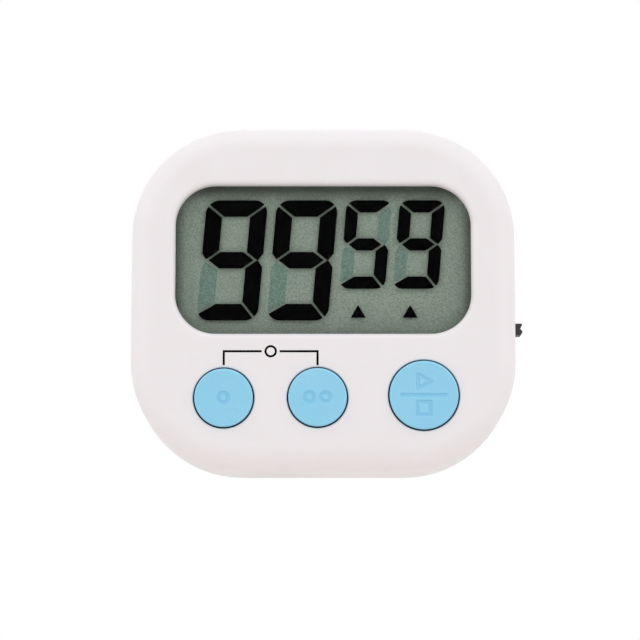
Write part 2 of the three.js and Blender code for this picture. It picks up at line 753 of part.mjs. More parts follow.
function place(parent, name, made, material, x = 0, y = 0, z = 0) {
  const mesh = new THREE.Mesh(geometryOf(made), material);
  mesh.name = name;
  mesh.position.set(x, y, z);
  parent.add(mesh);
  return mesh;
}

const shells = new THREE.Group();
timer.add(shells);
place(shells, "front_cover", frontCover(), COLOURS.whiteAbs());
place(shells, "rear_cover", backCover(), COLOURS.whiteAbs());
place(shells, "battery_door", batteryDoor(), COLOURS.whiteAbs());
place(shells, "stand", stand(), COLOURS.whiteAbs());
const magnetFront = CASE.back + MAGNET.proud - MAGNET.thickness;
place(shells, "magnet_left", magnet(), COLOURS.ferrite(), -MAGNET.x, magnetFront, MAGNET.z);
place(shells, "magnet_right", magnet(), COLOURS.ferrite(), MAGNET.x, magnetFront, MAGNET.z);

const display = new THREE.Group();
timer.add(display);
place(display, "window_lens", windowLens(), COLOURS.glass());
place(
  display,
  "lcd_front_polariser",
  sheet(POLARISER_FRONT, POLARISER_SHEET, rearGlassBottom, GLASS.top),
  COLOURS.polariser(),
);
place(display, "lcd_front_glass", sheet(frontGlassY, GLASS.sheet, GLASS.bottom, GLASS.top), COLOURS.glass());
place(display, "lcd_rear_glass", sheet(rearGlassY, GLASS.sheet, rearGlassBottom, GLASS.top), COLOURS.glass());
place(
  display,
  "lcd_reflector",
  sheet(reflectorY, REFLECTOR_SHEET, rearGlassBottom, GLASS.top),
  COLOURS.polariser(),
);
const foamFront = reflectorY + REFLECTOR_SHEET + GAP;
place(display, "lcd_foam_pad", box(-24, 24, foamFront, -3.75, 41, 51), COLOURS.foam());
place(display, "zebra_strip", zebraStrip(), COLOURS.zebra());

const keys = new THREE.Group();
timer.add(keys);
for (const [name, { x, z, radius }] of Object.entries(KEYS)) {
  const key = new THREE.Group();
  key.position.set(x, 0, z);
  keys.add(key);
  place(key, "button_" + name, buttonCap(radius), COLOURS.blueAbs());
  place(key, "keypad_boss_" + name, keypadBoss(), COLOURS.greyRubber());
  place(key, "carbon_pill_" + name, carbonPill(), COLOURS.carbon());
}
place(keys, "keypad_sheet", keypadSheet(), COLOURS.greyRubber());

const electronics = new THREE.Group();
timer.add(electronics);
place(electronics, "circuit_board", circuitBoard(), COLOURS.board());
place(electronics, "chip_blob", chipBlob(), COLOURS.epoxy(), -2, ON_BOARD, 29);
place(electronics, "crystal_can", crystalCan(), COLOURS.steel(), -14, ON_BOARD + 1, 30);
place(electronics, "capacitor", capacitor(), COLOURS.chip(), 10, ON_BOARD, 33);
place(electronics, "resistor_1", resistor(), COLOURS.chip(), 8, ON_BOARD, 26);
place(electronics, "resistor_2", resistor(), COLOURS.chip(), 12, ON_BOARD, 26);
place(electronics, "transistor", transistor(), COLOURS.chip(), 17, ON_BOARD, 30);
place(electronics, "buzzer_coil", buzzerCoil(), COLOURS.blackWire(), 22, ON_BOARD, 26.5);

const powerSwitch = new THREE.Group();
timer.add(powerSwitch);
place(powerSwitch, "switch_shell", switchShell(), COLOURS.steel());
place(powerSwitch, "switch_base", switchBase(), COLOURS.epoxy());
switchPinHeights().forEach((z, i) => {
  place(powerSwitch, "switch_pin_" + (i + 1), switchPin(), COLOURS.steel(), switchPinX, 0, z);
});
place(powerSwitch, "switch_knob", switchKnob(), COLOURS.blackPom());

const power = new THREE.Group();
timer.add(power);
const cell = place(power, "battery_cell", batteryCell(), COLOURS.cellJacket(), cellStart, CELL.y, CELL.z);
const cap = place(power, "battery_plus_cap", batteryCap(), COLOURS.steel(), cellEnd, CELL.y, CELL.z);
cell.rotation.z = -Math.PI / 2;
cap.rotation.z = -Math.PI / 2;
place(power, "contact_positive", contactPlate(1), COLOURS.steel());
place(power, "contact_negative", contactPlate(-1), COLOURS.steel());
place(power, "contact_spring", contactSpring(), COLOURS.steel());

// The insulated wires, from the battery contacts and from the buzzer to the board.
const wireY = ON_BOARD + 0.5;
for (const [name, side, colour] of [
  ["wire_battery_plus", 1, COLOURS.redWire()],
  ["wire_battery_minus", -1, COLOURS.blackWire()],
]) {
  const path = [
    [29.1, 2.75, 45.5],
    [29.4, 2.6, 42],
    [28.6, 1.2, 38],
    [27, wireY, 36],
    [25.8, wireY, 34.4],
  ];
  place(power, name, cord(path.map(([x, y, z]) => [side * x, y, z]), 0.42, 10), colour);
}
const buzzerBack = STAND_WELL.base - 0.3 - GAP;
const plateFront = buzzerBack - 0.25;
const ceramicFront = plateFront - GAP - 0.2;
place(power, "buzzer_plate", rod(BUZZER.radius, plateFront, buzzerBack, 0, BUZZER.z, 20), COLOURS.brass());
place(power, "buzzer_ceramic", rod(BUZZER.ceramic, ceramicFront, ceramicFront + 0.2, 0, BUZZER.z, 16), COLOURS.ceramic());
for (const [name, x, z, front, colour] of [
  ["wire_buzzer_centre", 3, BUZZER.z + 3, ceramicFront, COLOURS.redWire()],
  ["wire_buzzer_rim", -5, BUZZER.z + 6.8, plateFront, COLOURS.blackWire()],
]) {
  const end = front - 0.4;
  const path = [[x, end, z], [x, 2.6, z + 0.3], [x + 1.2, 0.6, z], [x + 1.5, wireY, 22.6]];
  place(power, name, cord(path, 0.33, 8), colour);
}

// ---------------------------------------------------------------- screws

// A pan-head self-tapping screw along Y, head towards +Y, with its seat at zero.
function screw({ head, headHeight, shank, length }) {
  const body = turned([
    [0, -length],
    [shank * 0.3, -length],
    [shank, -length + 1.2],
    [shank, 0],
    [head, 0],
    [head, headHeight * 0.5],
    [head * 0.7, headHeight],
    [0, headHeight],
  ], 10);
  const arm = head * 0.6;
  const slotFloor = headHeight * 0.4;
  return cut(
    body,
    box(-arm, arm, slotFloor, headHeight + 1, -0.22, 0.22),
    box(-0.22, 0.22, slotFloor, headHeight + 1, -arm, arm),
  );
}

const fasteners = new THREE.Group();
timer.add(fasteners);
BOARD_SCREWS.forEach(([x, z], i) => {
  place(fasteners, "board_screw_" + (i + 1), screw(BOARD_SCREW), COLOURS.steel(), x, ON_BOARD, z);
});
CASE_SCREWS.forEach(([x, z], i) => {
  place(fasteners, "case_screw_" + (i + 1), screw(CASE_SCREW), COLOURS.steel(), x, COLUMN.seat + GAP, z);
});

export default timer;
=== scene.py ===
"""The looks of a lab timer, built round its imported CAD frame. Lengths are in millimetres
until a mesh is made; Blender's unit is the metre."""

import json
import math

import bmesh
import bpy
from mathutils import Matrix, Vector
from mathutils.geometry import delaunay_2d_cdt, tessellate_polygon

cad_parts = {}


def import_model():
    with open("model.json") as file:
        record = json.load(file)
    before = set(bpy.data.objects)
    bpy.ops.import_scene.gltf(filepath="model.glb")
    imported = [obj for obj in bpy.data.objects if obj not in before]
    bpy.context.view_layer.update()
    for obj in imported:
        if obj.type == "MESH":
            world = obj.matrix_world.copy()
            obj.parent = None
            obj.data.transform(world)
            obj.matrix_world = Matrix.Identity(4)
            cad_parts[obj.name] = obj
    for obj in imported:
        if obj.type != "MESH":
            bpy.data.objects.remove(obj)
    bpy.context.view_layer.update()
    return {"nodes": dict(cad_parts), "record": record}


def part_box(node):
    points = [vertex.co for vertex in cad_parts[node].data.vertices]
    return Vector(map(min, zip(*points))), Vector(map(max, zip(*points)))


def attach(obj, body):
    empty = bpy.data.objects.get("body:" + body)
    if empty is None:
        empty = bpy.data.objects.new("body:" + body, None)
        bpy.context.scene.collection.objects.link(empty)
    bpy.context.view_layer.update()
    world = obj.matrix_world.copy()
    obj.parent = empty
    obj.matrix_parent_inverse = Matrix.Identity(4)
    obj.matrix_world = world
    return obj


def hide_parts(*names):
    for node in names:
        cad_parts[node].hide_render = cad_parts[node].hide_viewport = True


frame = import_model()

MM = 0.001


def mm_box(node):
    """A CAD node's lowest and highest corners, in millimetres."""
    low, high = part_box(node)
    return low / MM, high / MM


# ---- places taken from the frame

FRONT_LOW, FRONT_HIGH = mm_box("front_cover")
REAR_LOW, REAR_HIGH = mm_box("rear_cover")
LENS_LOW, LENS_HIGH = mm_box("window_lens")
KNOB_LOW, KNOB_HIGH = mm_box("switch_knob")
SWITCH_FACE_X = mm_box("switch_shell")[1].x
DOOR_LOW, DOOR_HIGH = mm_box("battery_door")
STAND_LOW, STAND_HIGH = mm_box("stand")
CELL_LOW, CELL_HIGH = mm_box("battery_cell")
CELL_Y = (CELL_LOW.y + CELL_HIGH.y) / 2
CELL_Z = (CELL_LOW.z + CELL_HIGH.z) / 2

FACE_Y = FRONT_LOW.y
BACK_Y = REAR_HIGH.y
WIDTH = FRONT_HIGH.x - FRONT_LOW.x
HEIGHT = FRONT_HIGH.z
MIDDLE_Z = HEIGHT / 2
PARTING_Y = FACE_Y + 11
SEAM = 0.12

KNOB_HALF = 1.12
KNOB_HALF_DEEP = (KNOB_HIGH.y - KNOB_LOW.y) / 2
KNOB_Y = (KNOB_HIGH.y + KNOB_LOW.y) / 2
KNOB_Z = (KNOB_HIGH.z + KNOB_LOW.z) / 2
KNOB_PLAY = 0.3
KNOB_TRAVEL = 2

# ---- shape of the case

CORNER = 20.6
WALL = 2
FRONT_ROUND = (4.6, 4.4)
BACK_ROUND = (3.5, 3.5)
ARC_STEPS = 16
ROUND_STEPS = 14

LENS_MARGIN = 1.6
WINDOW = {
    "width": LENS_HIGH.x - LENS_LOW.x - 2 * LENS_MARGIN,
    "height": LENS_HIGH.z - LENS_LOW.z - 2 * LENS_MARGIN,
    "z": (LENS_HIGH.z + LENS_LOW.z) / 2,
    "corner": 7.5,
    "lip": 1.1,
}

BEYOND_BACK = BACK_Y + 1

DOOR_HEIGHT = 15
DOOR_TAB_REACH = 1.3
DOOR_CORNER = 1.5
DOOR_THICKNESS = 1.6
DOOR_TABS = (19.5, 23)
DOOR_BOTTOM = DOOR_HIGH.z - DOOR_TAB_REACH - DOOR_HEIGHT
DOOR_MIDDLE = DOOR_BOTTOM + DOOR_HEIGHT / 2
DOOR_WIDTH = DOOR_HIGH.x - DOOR_LOW.x

STAND_HALF_WIDTH = 14
STAND_HINGE_Y = 8.5
STAND_HINGE_Z = 33
STAND_PIN_RADIUS = 1
STAND_PIN_HALF = 15.8

SCREW_SEAT_Y = 3.6
MAGNET_RECESS = 2.05

KEY_FLANGE = 0.85
KEY_PLAY = 0.25


def key_place(name):
    """Centre and cap radius of a button, from its CAD node, whose flange is wider."""
    low, high = mm_box("button_" + name)
    radius = (high.x - low.x) / 2
    return (low.x + high.x) / 2, low.z + radius, radius - KEY_FLANGE


KEYS = {name: key_place(name) for name in ("minutes", "seconds", "start_stop")}

# ---- mesh tools


def new_object(name, bm, sharp_deg=32):
    """A mesh in millimetres as a smooth-shaded object in metres."""
    bmesh.ops.recalc_face_normals(bm, faces=bm.faces)
    bmesh.ops.scale(bm, vec=(MM, MM, MM), verts=bm.verts)
    mesh = bpy.data.meshes.new(name)
    bm.to_mesh(mesh)
    bm.free()
    obj = bpy.data.objects.new(name, mesh)
    bpy.context.scene.collection.objects.link(obj)
    shade(obj, sharp_deg)
    return obj


def shade(obj, sharp_deg=32):
    for polygon in obj.data.polygons:
        polygon.use_smooth = True
    obj.data.set_sharp_from_angle(angle=math.radians(sharp_deg))


def weigh_normals(obj):
    """Keeps flat faces looking flat beside their rounded edges."""
    modifier = obj.modifiers.new("weighted", "WEIGHTED_NORMAL")
    modifier.keep_sharp = True
    modifier.mode = "FACE_AREA"
    modifier.weight = 80


def apply_modifiers(obj):
    """Replaces the object's mesh by the result of its modifiers."""
    graph = bpy.context.evaluated_depsgraph_get()
    mesh = bpy.data.meshes.new_from_object(obj.evaluated_get(graph))
    obj.modifiers.clear()
    obj.data = mesh


def combine(obj, others, operation):
    """Joins the others to obj, or takes them out of it, and deletes them."""
    for other in others:
        modifier = obj.modifiers.new("combine", "BOOLEAN")
        modifier.object = other
        modifier.operation = operation
        modifier.solver = "EXACT"
        apply_modifiers(obj)
        bpy.data.objects.remove(other)


def cut(obj, cutters, sharp_deg=32):
    combine(obj, cutters, "DIFFERENCE")
    shade(obj, sharp_deg)
    return obj


def round_edges(obj, radius, segments, angle_deg):
    """Rounds the edges sharper than an angle."""
    modifier = obj.modifiers.new("round", "BEVEL")
    modifier.width = radius * MM
    modifier.segments = segments
    modifier.limit_method = "ANGLE"
    modifier.angle_limit = math.radians(angle_deg)
    weigh_normals(obj)


def ring(bm, outline, y):
    """Vertices of a closed outline of (x, z) points at one depth."""
    return [bm.verts.new((x, y, z)) for x, z in outline]


def skin(bm, rings):
    """Quads between each ring and the next."""
    for first, second in zip(rings, rings[1:]):
        count = len(first)
        for i in range(count):
            j = (i + 1) % count
            bm.faces.new((first[i], first[j], second[j], second[i]))


def fill(bm, *loops):
    """A flat face inside the first loop and outside the others."""
    verts = [v for loop in loops for v in loop]
    for triangle in tessellate_polygon([[v.co for v in loop] for loop in loops]):
        bm.faces.new([verts[i] for i in triangle])


def rounded_rect(width, height, corner, x=0.0, z=0.0, steps=ARC_STEPS):
    """Points of a rounded rectangle, anticlockwise from its upper right corner."""
    points = []
    for quarter, (sx, sz) in enumerate([(1, 1), (-1, 1), (-1, -1), (1, -1)]):
        cx = x + sx * (width / 2 - corner)
        cz = z + sz * (height / 2 - corner)
        for i in range(steps + 1):
            turn = (quarter + i / steps) * math.pi / 2
            points.append((cx + corner * math.cos(turn), cz + corner * math.sin(turn)))
    return points


def circle(radius, x=0.0, z=0.0, steps=72):
    turns = [i / steps * 2 * math.pi for i in range(steps)]
    return [(x + radius * math.cos(t), z + radius * math.sin(t)) for t in turns]


def quarter_round(steps=ROUND_STEPS):
    """(share across, share deep) of a quarter circle, from 0, 0 to 1, 1."""
    turns = [i / steps * math.pi / 2 for i in range(steps + 1)]
    return [(math.sin(t), 1 - math.cos(t)) for t in turns]


def lathe(bm, profile, x=0.0, z=0.0, steps=72):
    """A profile of (radius, y) turned round an axis along Y. Its ends lie on the axis."""
    rings = [ring(bm, circle(r, x, z, steps), y) for r, y in profile[1:-1]]
    skin(bm, rings)
    for (_, y), end in ((profile[0], rings[0]), (profile[-1], rings[-1])):
        tip = bm.verts.new((x, y, z))
        for i in range(steps):
            bm.faces.new((tip, end[i], end[(i + 1) % steps]))


def block(bm, low, high):
    """A plain box, for cutters."""
    made = bmesh.ops.create_cube(bm, size=1)["verts"]
    size = Vector(high) - Vector(low)
    centre = (Vector(high) + Vector(low)) / 2
    bmesh.ops.scale(bm, vec=size, verts=made)
    bmesh.ops.translate(bm, vec=centre, verts=made)


def block_object(low, high):
    bm = bmesh.new()
    block(bm, low, high)
    return new_object("cutter", bm)


def slab(bm, outline, y0, y1, round_front=0.0, round_back=0.0, inset=None):
    """A solid of one outline from y0 to y1 with rounded rims. inset(d) is the outline
    drawn in by d."""
    levels = []
    for across, deep in quarter_round(5) if round_front else [(1, 1)]:
        levels.append((round_front * (1 - across), y0 + round_front * deep))
    back = [(round_back * (1 - a), y1 - round_back * d) for a, d in quarter_round(5)]
    levels += reversed(back) if round_back else [(0, y1)]
    rings = [ring(bm, inset(d) if inset else outline, y) for d, y in levels]
    skin(bm, rings)
    fill(bm, rings[0])
    fill(bm, rings[-1])


def join(name, parts):
    """Several objects as one, with the first one's material."""
    bm = bmesh.new()
    for part in parts:
        bm.from_mesh(part.data)
        bpy.data.objects.remove(part)
    mesh = bpy.data.meshes.new(name)
    bm.to_mesh(mesh)
    bm.free()
    obj = bpy.data.objects.new(name, mesh)
    bpy.context.scene.collection.objects.link(obj)
    shade(obj)
    return obj


# ---- materials


class Nodes:
    """A material's node tree, with short calls for the nodes used here."""

    def __init__(self, name):
        self.material = bpy.data.materials.new(name)
        self.material.use_nodes = True
        self.tree = self.material.node_tree
        self.surface = self.tree.nodes["Principled BSDF"]
        place = self.add("ShaderNodeTexCoord")
        scale = self.add("ShaderNodeMapping")
        scale.inputs["Scale"].default_value = (1 / MM, 1 / MM, 1 / MM)
        self.link(place.outputs["Object"], scale.inputs["Vector"])
        self.place = scale.outputs["Vector"]

    def add(self, kind):
        return self.tree.nodes.new(kind)

    def link(self, output, target):
        self.tree.links.new(output, target)

    def set(self, **values):
        for key, value in values.items():
            self.surface.inputs[key.replace("_", " ")].default_value = value

    def noise(self, size_mm, detail=3.0, stretch=None):
        """Noise whose features are about size_mm across."""
        node = self.add("ShaderNodeTexNoise")
        node.inputs["Scale"].default_value = 1 / size_mm
        node.inputs["Detail"].default_value = detail
        vector = self.place
        if stretch:
            mapping = self.add("ShaderNodeMapping")
            mapping.inputs["Scale"].default_value = stretch
            self.link(self.place, mapping.inputs["Vector"])
            vector = mapping.outputs["Vector"]
        self.link(vector, node.inputs["Vector"])
        return node.outputs["Fac"]

    def remap(self, value, low, high, start=0.3, end=0.7):
        node = self.add("ShaderNodeMapRange")
        self.link(value, node.inputs["Value"])
        node.inputs["From Min"].default_value = start
        node.inputs["From Max"].default_value = end
        node.inputs["To Min"].default_value = low
        node.inputs["To Max"].default_value = high
        return node.outputs["Result"]

    def along(self, axis):
        """The coordinate along X, Y or Z, in millimetres."""
        split = self.add("ShaderNodeSeparateXYZ")
        self.link(self.place, split.inputs["Vector"])
        return split.outputs[axis]

    def scaled(self, value, factor):
        node = self.add("ShaderNodeMath")
        node.operation = "MULTIPLY"
        self.link(value, node.inputs[0])
        node.inputs[1].default_value = factor
        return node.outputs["Value"]

    def mix(self, share, first, second):
        """A colour between first and second, each a colour or an output."""
        node = self.add("ShaderNodeMix")
        node.data_type = "RGBA"
        self.link(share, node.inputs["Factor"])
        for socket, colour in ((node.inputs[6], first), (node.inputs[7], second)):
            if isinstance(colour, tuple):
                socket.default_value = colour + (1,)
            else:
                self.link(colour, socket)
        return node.outputs[2]

    def shader_mix(self, share, first, second):
        node = self.add("ShaderNodeMixShader")
        self.link(share, node.inputs["Fac"])
        self.link(first, node.inputs[1])
        self.link(second, node.inputs[2])
        return node.outputs["Shader"]

    def show(self, shader):
        self.link(shader, self.tree.nodes["Material Output"].inputs["Surface"])

    def bump(self, height, depth_mm, strength=1.0):
        node = self.add("ShaderNodeBump")
        node.inputs["Strength"].default_value = strength
        node.inputs["Distance"].default_value = depth_mm * MM
        self.link(height, node.inputs["Height"])
        if self.surface.inputs["Normal"].is_linked:
            before = self.surface.inputs["Normal"].links[0].from_socket
            self.link(before, node.inputs["Normal"])
        self.link(node.outputs["Normal"], self.surface.inputs["Normal"])


def moulded(name, colour, shade_colour, roughness, grain_mm=0.18, grain_depth=0.004,
            soft=0.0, gap_shade_colour=None):
    """Moulded plastic: a faint spark-eroded grain, cloudy colour and uneven gloss. With a colour for
    the gap, it is painted darker below the front face: painted shade down the gap round a button."""
    nodes = Nodes(name)
    cloud = nodes.remap(nodes.noise(9, 2), 0, 1)
    colour_out = nodes.mix(cloud, colour, shade_colour)
    if gap_shade_colour:
        # Painted shade: below the front face the cap's skirt turns dark navy, standing in for the
        # shadow down the gap round the button.
        sunk = nodes.remap(nodes.along("Y"), 0, 1, FACE_Y - 0.1, FACE_Y + 0.4)
        colour_out = nodes.mix(sunk, colour_out, gap_shade_colour)
    nodes.link(colour_out, nodes.surface.inputs["Base Color"])
    uneven = nodes.remap(nodes.noise(3, 4), roughness - 0.05, roughness + 0.05)
    nodes.link(uneven, nodes.surface.inputs["Roughness"])
    nodes.bump(nodes.noise(grain_mm, 2), grain_depth)
    nodes.bump(nodes.noise(14, 1), 0.02, 0.4)
    nodes.set(IOR=1.5, Subsurface_Weight=soft, Subsurface_Scale=0.6 * MM)
    return nodes.material


def metal(name, colour, roughness, stretch=(1, 1, 1)):
    """Plated or rolled metal: fine drawn lines and patches of tarnish."""
    nodes = Nodes(name)
    tarnish = nodes.remap(nodes.noise(1.6, 4), 0, 1)
    darker = tuple(0.72 * c for c in colour)
    nodes.link(nodes.mix(tarnish, colour, darker), nodes.surface.inputs["Base Color"])
    uneven = nodes.remap(nodes.noise(0.5, 3), roughness - 0.08, roughness + 0.1)
    nodes.link(uneven, nodes.surface.inputs["Roughness"])
    nodes.bump(nodes.noise(0.12, 2, stretch), 0.003)
    nodes.set(Metallic=1.0)
    return nodes.material


def rubber(name, colour):
    nodes = Nodes(name)
    cloud = nodes.remap(nodes.noise(2, 4), 0, 1)
    lighter = tuple(min(1, 1.35 * c + 0.004) for c in colour)
    nodes.link(nodes.mix(cloud, colour, lighter), nodes.surface.inputs["Base Color"])
    nodes.bump(nodes.noise(0.2, 3), 0.006)
    nodes.set(Roughness=0.72)
    return nodes.material


def panel_material():
    """The display's reflector seen through the glass: grey-green with a fine grain, and
    in the frame's shade along its top and sides."""
    nodes = Nodes("lcd_grey_green")
    grain = nodes.remap(nodes.noise(0.24, 2), 0, 1, 0.40, 0.60)
    fine = nodes.mix(grain, (0.315, 0.380, 0.335), (0.510, 0.580, 0.520))
    cloud = nodes.remap(nodes.noise(11, 2), 0, 1)
    toned = nodes.mix(nodes.scaled(cloud, 0.3), fine, (0.425, 0.500, 0.440))
    top = WINDOW["z"] + WINDOW["height"] / 2
    side = WINDOW["width"] / 2
    dark = (0.075, 0.085, 0.078)
    shade = nodes.remap(nodes.along("Z"), 0, 0.8, top - 2.6, top - 0.2)
    toned = nodes.mix(shade, toned, dark)
    for edge in (-side, side):
        shade = nodes.remap(nodes.along("X"), 0, 0.6, 0.94 * edge, edge)
        toned = nodes.mix(shade, toned, dark)
    nodes.link(toned, nodes.surface.inputs["Base Color"])
    nodes.bump(nodes.noise(0.14, 2), 0.004)
    nodes.set(Roughness=0.5, IOR=1.4)
    return nodes.material


def segment_material():
    """The near black of lit segments and printed marks."""
    nodes = Nodes("lcd_segment_black")
    grain = nodes.remap(nodes.noise(0.16, 2), 0, 1, 0.4, 0.6)
    colour = nodes.mix(grain, (0.0012, 0.0016, 0.0014), (0.003, 0.004, 0.0034))
    nodes.link(colour, nodes.surface.inputs["Base Color"])
    nodes.set(Roughness=0.6, IOR=1.05)
    return nodes.material


def ghost_material():
    """An unlit segment: the panel's own grain with a slight teal tint."""
    nodes = Nodes("lcd_segment_unlit")
    grain = nodes.remap(nodes.noise(0.24, 2), 0, 1, 0.40, 0.60)
    colour = nodes.mix(grain, (0.195, 0.300, 0.270), (0.310, 0.440, 0.400))
    nodes.link(colour, nodes.surface.inputs["Base Color"])
    nodes.set(Roughness=0.5, IOR=1.4)
    return nodes.material


def lens_material():
    """Clear plastic with faint haze, glossy where light enters it."""
    nodes = Nodes("window_clear")
    clear = nodes.add("ShaderNodeBsdfTransparent")
    clear.inputs["Color"].default_value = (0.975, 0.985, 0.975, 1)
    gloss = nodes.add("ShaderNodeBsdfGlossy")
    haze = nodes.remap(nodes.noise(6, 4), 0.03, 0.09)
    nodes.link(haze, gloss.inputs["Roughness"])
    fresnel = nodes.add("ShaderNodeFresnel")
    fresnel.inputs["IOR"].default_value = 1.3
    entering = nodes.shader_mix(fresnel.outputs["Fac"], clear.outputs[0], gloss.outputs[0])
    side = nodes.add("ShaderNodeNewGeometry")
    nodes.show(nodes.shader_mix(side.outputs["Backfacing"], entering, clear.outputs[0]))
    return nodes.material


def board_material():
    """Green solder mask over copper tracks."""
    nodes = Nodes("solder_mask")
    tracks = nodes.add("ShaderNodeTexWave")
    tracks.inputs["Scale"].default_value = 0.35
    tracks.inputs["Distortion"].default_value = 2.5
    tracks.bands_direction = "DIAGONAL"
    nodes.link(nodes.place, tracks.inputs["Vector"])
    edges = nodes.remap(tracks.outputs["Fac"], 0, 1, 0.45, 0.55)
    colour = nodes.mix(edges, (0.012, 0.10, 0.035), (0.025, 0.17, 0.055))
    nodes.link(colour, nodes.surface.inputs["Base Color"])
    nodes.bump(edges, 0.03)
    nodes.set(Roughness=0.35)
    return nodes.material


def jacket_material():
    """The cell's printed wrap: a copper-coloured band at its positive end."""
    nodes = Nodes("cell_jacket")
    band_start = CELL_HIGH.x - 12
    band = nodes.remap(nodes.along("X"), 0, 1, band_start, band_start + 0.1)
    colour = nodes.mix(band, (0.02, 0.022, 0.026), (0.55, 0.30, 0.12))
    nodes.link(colour, nodes.surface.inputs["Base Color"])
    uneven = nodes.remap(nodes.noise(2, 3), 0.25, 0.4)
    nodes.link(uneven, nodes.surface.inputs["Roughness"])
    nodes.set(Metallic=0.6)
    nodes.bump(nodes.noise(4, 1), 0.02)
    return nodes.material


def make_materials():
    """One material for each slot of the record."""
    return {
        "case_plastic": moulded(
            "white_abs", (0.872, 0.848, 0.868), (0.857, 0.833, 0.852), 0.42, soft=0.08
        ),
        "button_plastic": moulded(
            "blue_abs", (0.275, 0.655, 0.88), (0.30, 0.67, 0.89), 0.32,
            # Painted shade: the caps' skirts go dark navy down the gap round each button.
            soft=0.1, gap_shade_colour=(0.004, 0.03, 0.09)
        ),
        "knob_plastic": moulded("charcoal_pom", (0.035, 0.030, 0.034), (0.05, 0.045, 0.05), 0.45),
        "clear_plastic": lens_material(),
        "lcd_glass": lens_material(),
        "polariser": panel_material(),
        "reflector": panel_material(),
        "foam": rubber("black_foam", (0.012, 0.012, 0.012)),
        "zebra_rubber": rubber("zebra_rubber", (0.55, 0.36, 0.42)),
        "keypad_rubber": rubber("grey_silicone", (0.42, 0.44, 0.43)),
        "carbon": rubber("carbon_pill", (0.012, 0.012, 0.012)),
        "board_laminate": board_material(),
        "epoxy": moulded("black_epoxy", (0.006, 0.006, 0.007), (0.012, 0.012, 0.013), 0.22),
        "component_black": moulded("component_black", (0.02, 0.02, 0.02), (0.03, 0.03, 0.03), 0.4),
        "steel": metal("nickel_plate", (0.72, 0.71, 0.69), 0.28),
        "brass": metal("brass_sheet", (0.75, 0.53, 0.22), 0.3),
        "ceramic": moulded("silvered_ceramic", (0.72, 0.68, 0.58), (0.65, 0.61, 0.52), 0.5),
        "cell_jacket": jacket_material(),
        "ferrite": moulded(
            "sintered_ferrite", (0.035, 0.035, 0.038), (0.06, 0.058, 0.06), 0.5, 0.1, 0.01
        ),
        "wire_red": rubber("red_insulation", (0.45, 0.02, 0.015)),
        "wire_black": rubber("black_insulation", (0.015, 0.015, 0.016)),
    }


MATERIALS = make_materials()
INK = segment_material()


def finish_piece(obj, body, slot_name, nodes=(), material=None):
    """Gives a piece its material and its body, and hides the CAD nodes that it stands for."""
    obj.data.materials.clear()
    obj.data.materials.append(material or MATERIALS[slot_name])
    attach(obj, body)
    if nodes:
        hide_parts(*nodes)
    return obj


def paint_cad_nodes():
    """Every CAD node gets the material of its slot in the record."""
    for row in frame["record"]["subparts"]:
        mesh = frame["nodes"][row["node"]].data
        mesh.materials.clear()
        mesh.materials.append(MATERIALS[row["material_slot"]])


# ---- case shells


def case_outline(inset):
    """The case's outline from the front, drawn in by inset."""
    return rounded_rect(WIDTH - 2 * inset, HEIGHT - 2 * inset, CORNER - inset, 0, MIDDLE_Z)


def window_outline(margin):
    width = WINDOW["width"] + 2 * margin
    height = WINDOW["height"] + 2 * margin
    return rounded_rect(width, height, WINDOW["corner"] + margin, 0, WINDOW["z"])


def knob_slot():
    """Cutter for the slide switch's slot, which both shells share."""
    half_deep = KNOB_HALF_DEEP + KNOB_PLAY
    bottom = KNOB_Z - KNOB_HALF - KNOB_TRAVEL - KNOB_PLAY
    top = KNOB_Z + KNOB_HALF + KNOB_PLAY
    low = (WIDTH / 2 - 3, KNOB_Y - half_deep, bottom)
    return block_object(low, (WIDTH / 2 + 1, KNOB_Y + half_deep, top))


def key_hole_rings(bm, x, z, radius):
    """A button's hole through the front wall, with a small lip at its rim."""
    hole = radius + KEY_PLAY
    lip = 0.3
    levels = [(hole + lip * (1 - a), FACE_Y + lip * d) for a, d in quarter_round(4)]
    levels.append((hole, FACE_Y + WALL))
    return [ring(bm, circle(r, x, z), y) for r, y in levels]


def front_shell():
    """The front half of the case: a rounded tray with the window and three holes."""
    bm = bmesh.new()
    across, deep = FRONT_ROUND
    outer = [
        ring(bm, case_outline(across * (1 - a)), FACE_Y + deep * d)
        for a, d in quarter_round()
    ]
    seam_y = PARTING_Y - SEAM / 2
    outer.append(ring(bm, case_outline(0), seam_y - 0.15))
    outer.append(ring(bm, case_outline(0.15), seam_y))
    inner = [
        ring(bm, case_outline(WALL), seam_y),
        ring(bm, case_outline(WALL + 0.2), FACE_Y + WALL + 2.4),
        ring(bm, case_outline(4.4), FACE_Y + WALL),
    ]
    lip = WINDOW["lip"]
    opening = [
        ring(bm, window_outline(lip * (1 - a)), FACE_Y + lip * d)
        for a, d in quarter_round(10)
    ]
    opening.append(ring(bm, window_outline(0), FACE_Y + WALL))
    holes = [key_hole_rings(bm, *place) for place in KEYS.values()]
    skin(bm, outer + inner)
    skin(bm, opening)
    for rings in holes:
        skin(bm, rings)
    fill(bm, outer[0], opening[0], *[rings[0] for rings in holes])
    fill(bm, inner[-1], opening[-1], *[rings[-1] for rings in holes])
    shell = cut(new_object("front_shell", bm), [knob_slot()])
    weigh_normals(shell)
    return finish_piece(shell, "case", "case_plastic", ["front_cover"])


def cylinder_cutter(radius, y0, y1, x, z, lip=0.25):
    """Cutter for a round recess from y0 out through the back, with a lip at its rim."""
    bm = bmesh.new()
    profile = [(0, y0), (radius, y0), (radius, BACK_Y - lip)]
    profile += [(radius + lip * (1 - math.cos(t)), BACK_Y - lip * (1 - math.sin(t)))
                for t in (0.25 * math.pi, 0.5 * math.pi)]
    profile += [(radius + lip, y1), (0, y1)]
    lathe(bm, profile, x, z, 48)
    return new_object("cutter", bm)


def outline_cutter(outline, y0, y1):
    bm = bmesh.new()
    slab(bm, outline, y0, y1)
    return new_object("cutter", bm)


def centre_of(node):
    low, high = mm_box(node)
    return (low.x + high.x) / 2, (low.z + high.z) / 2


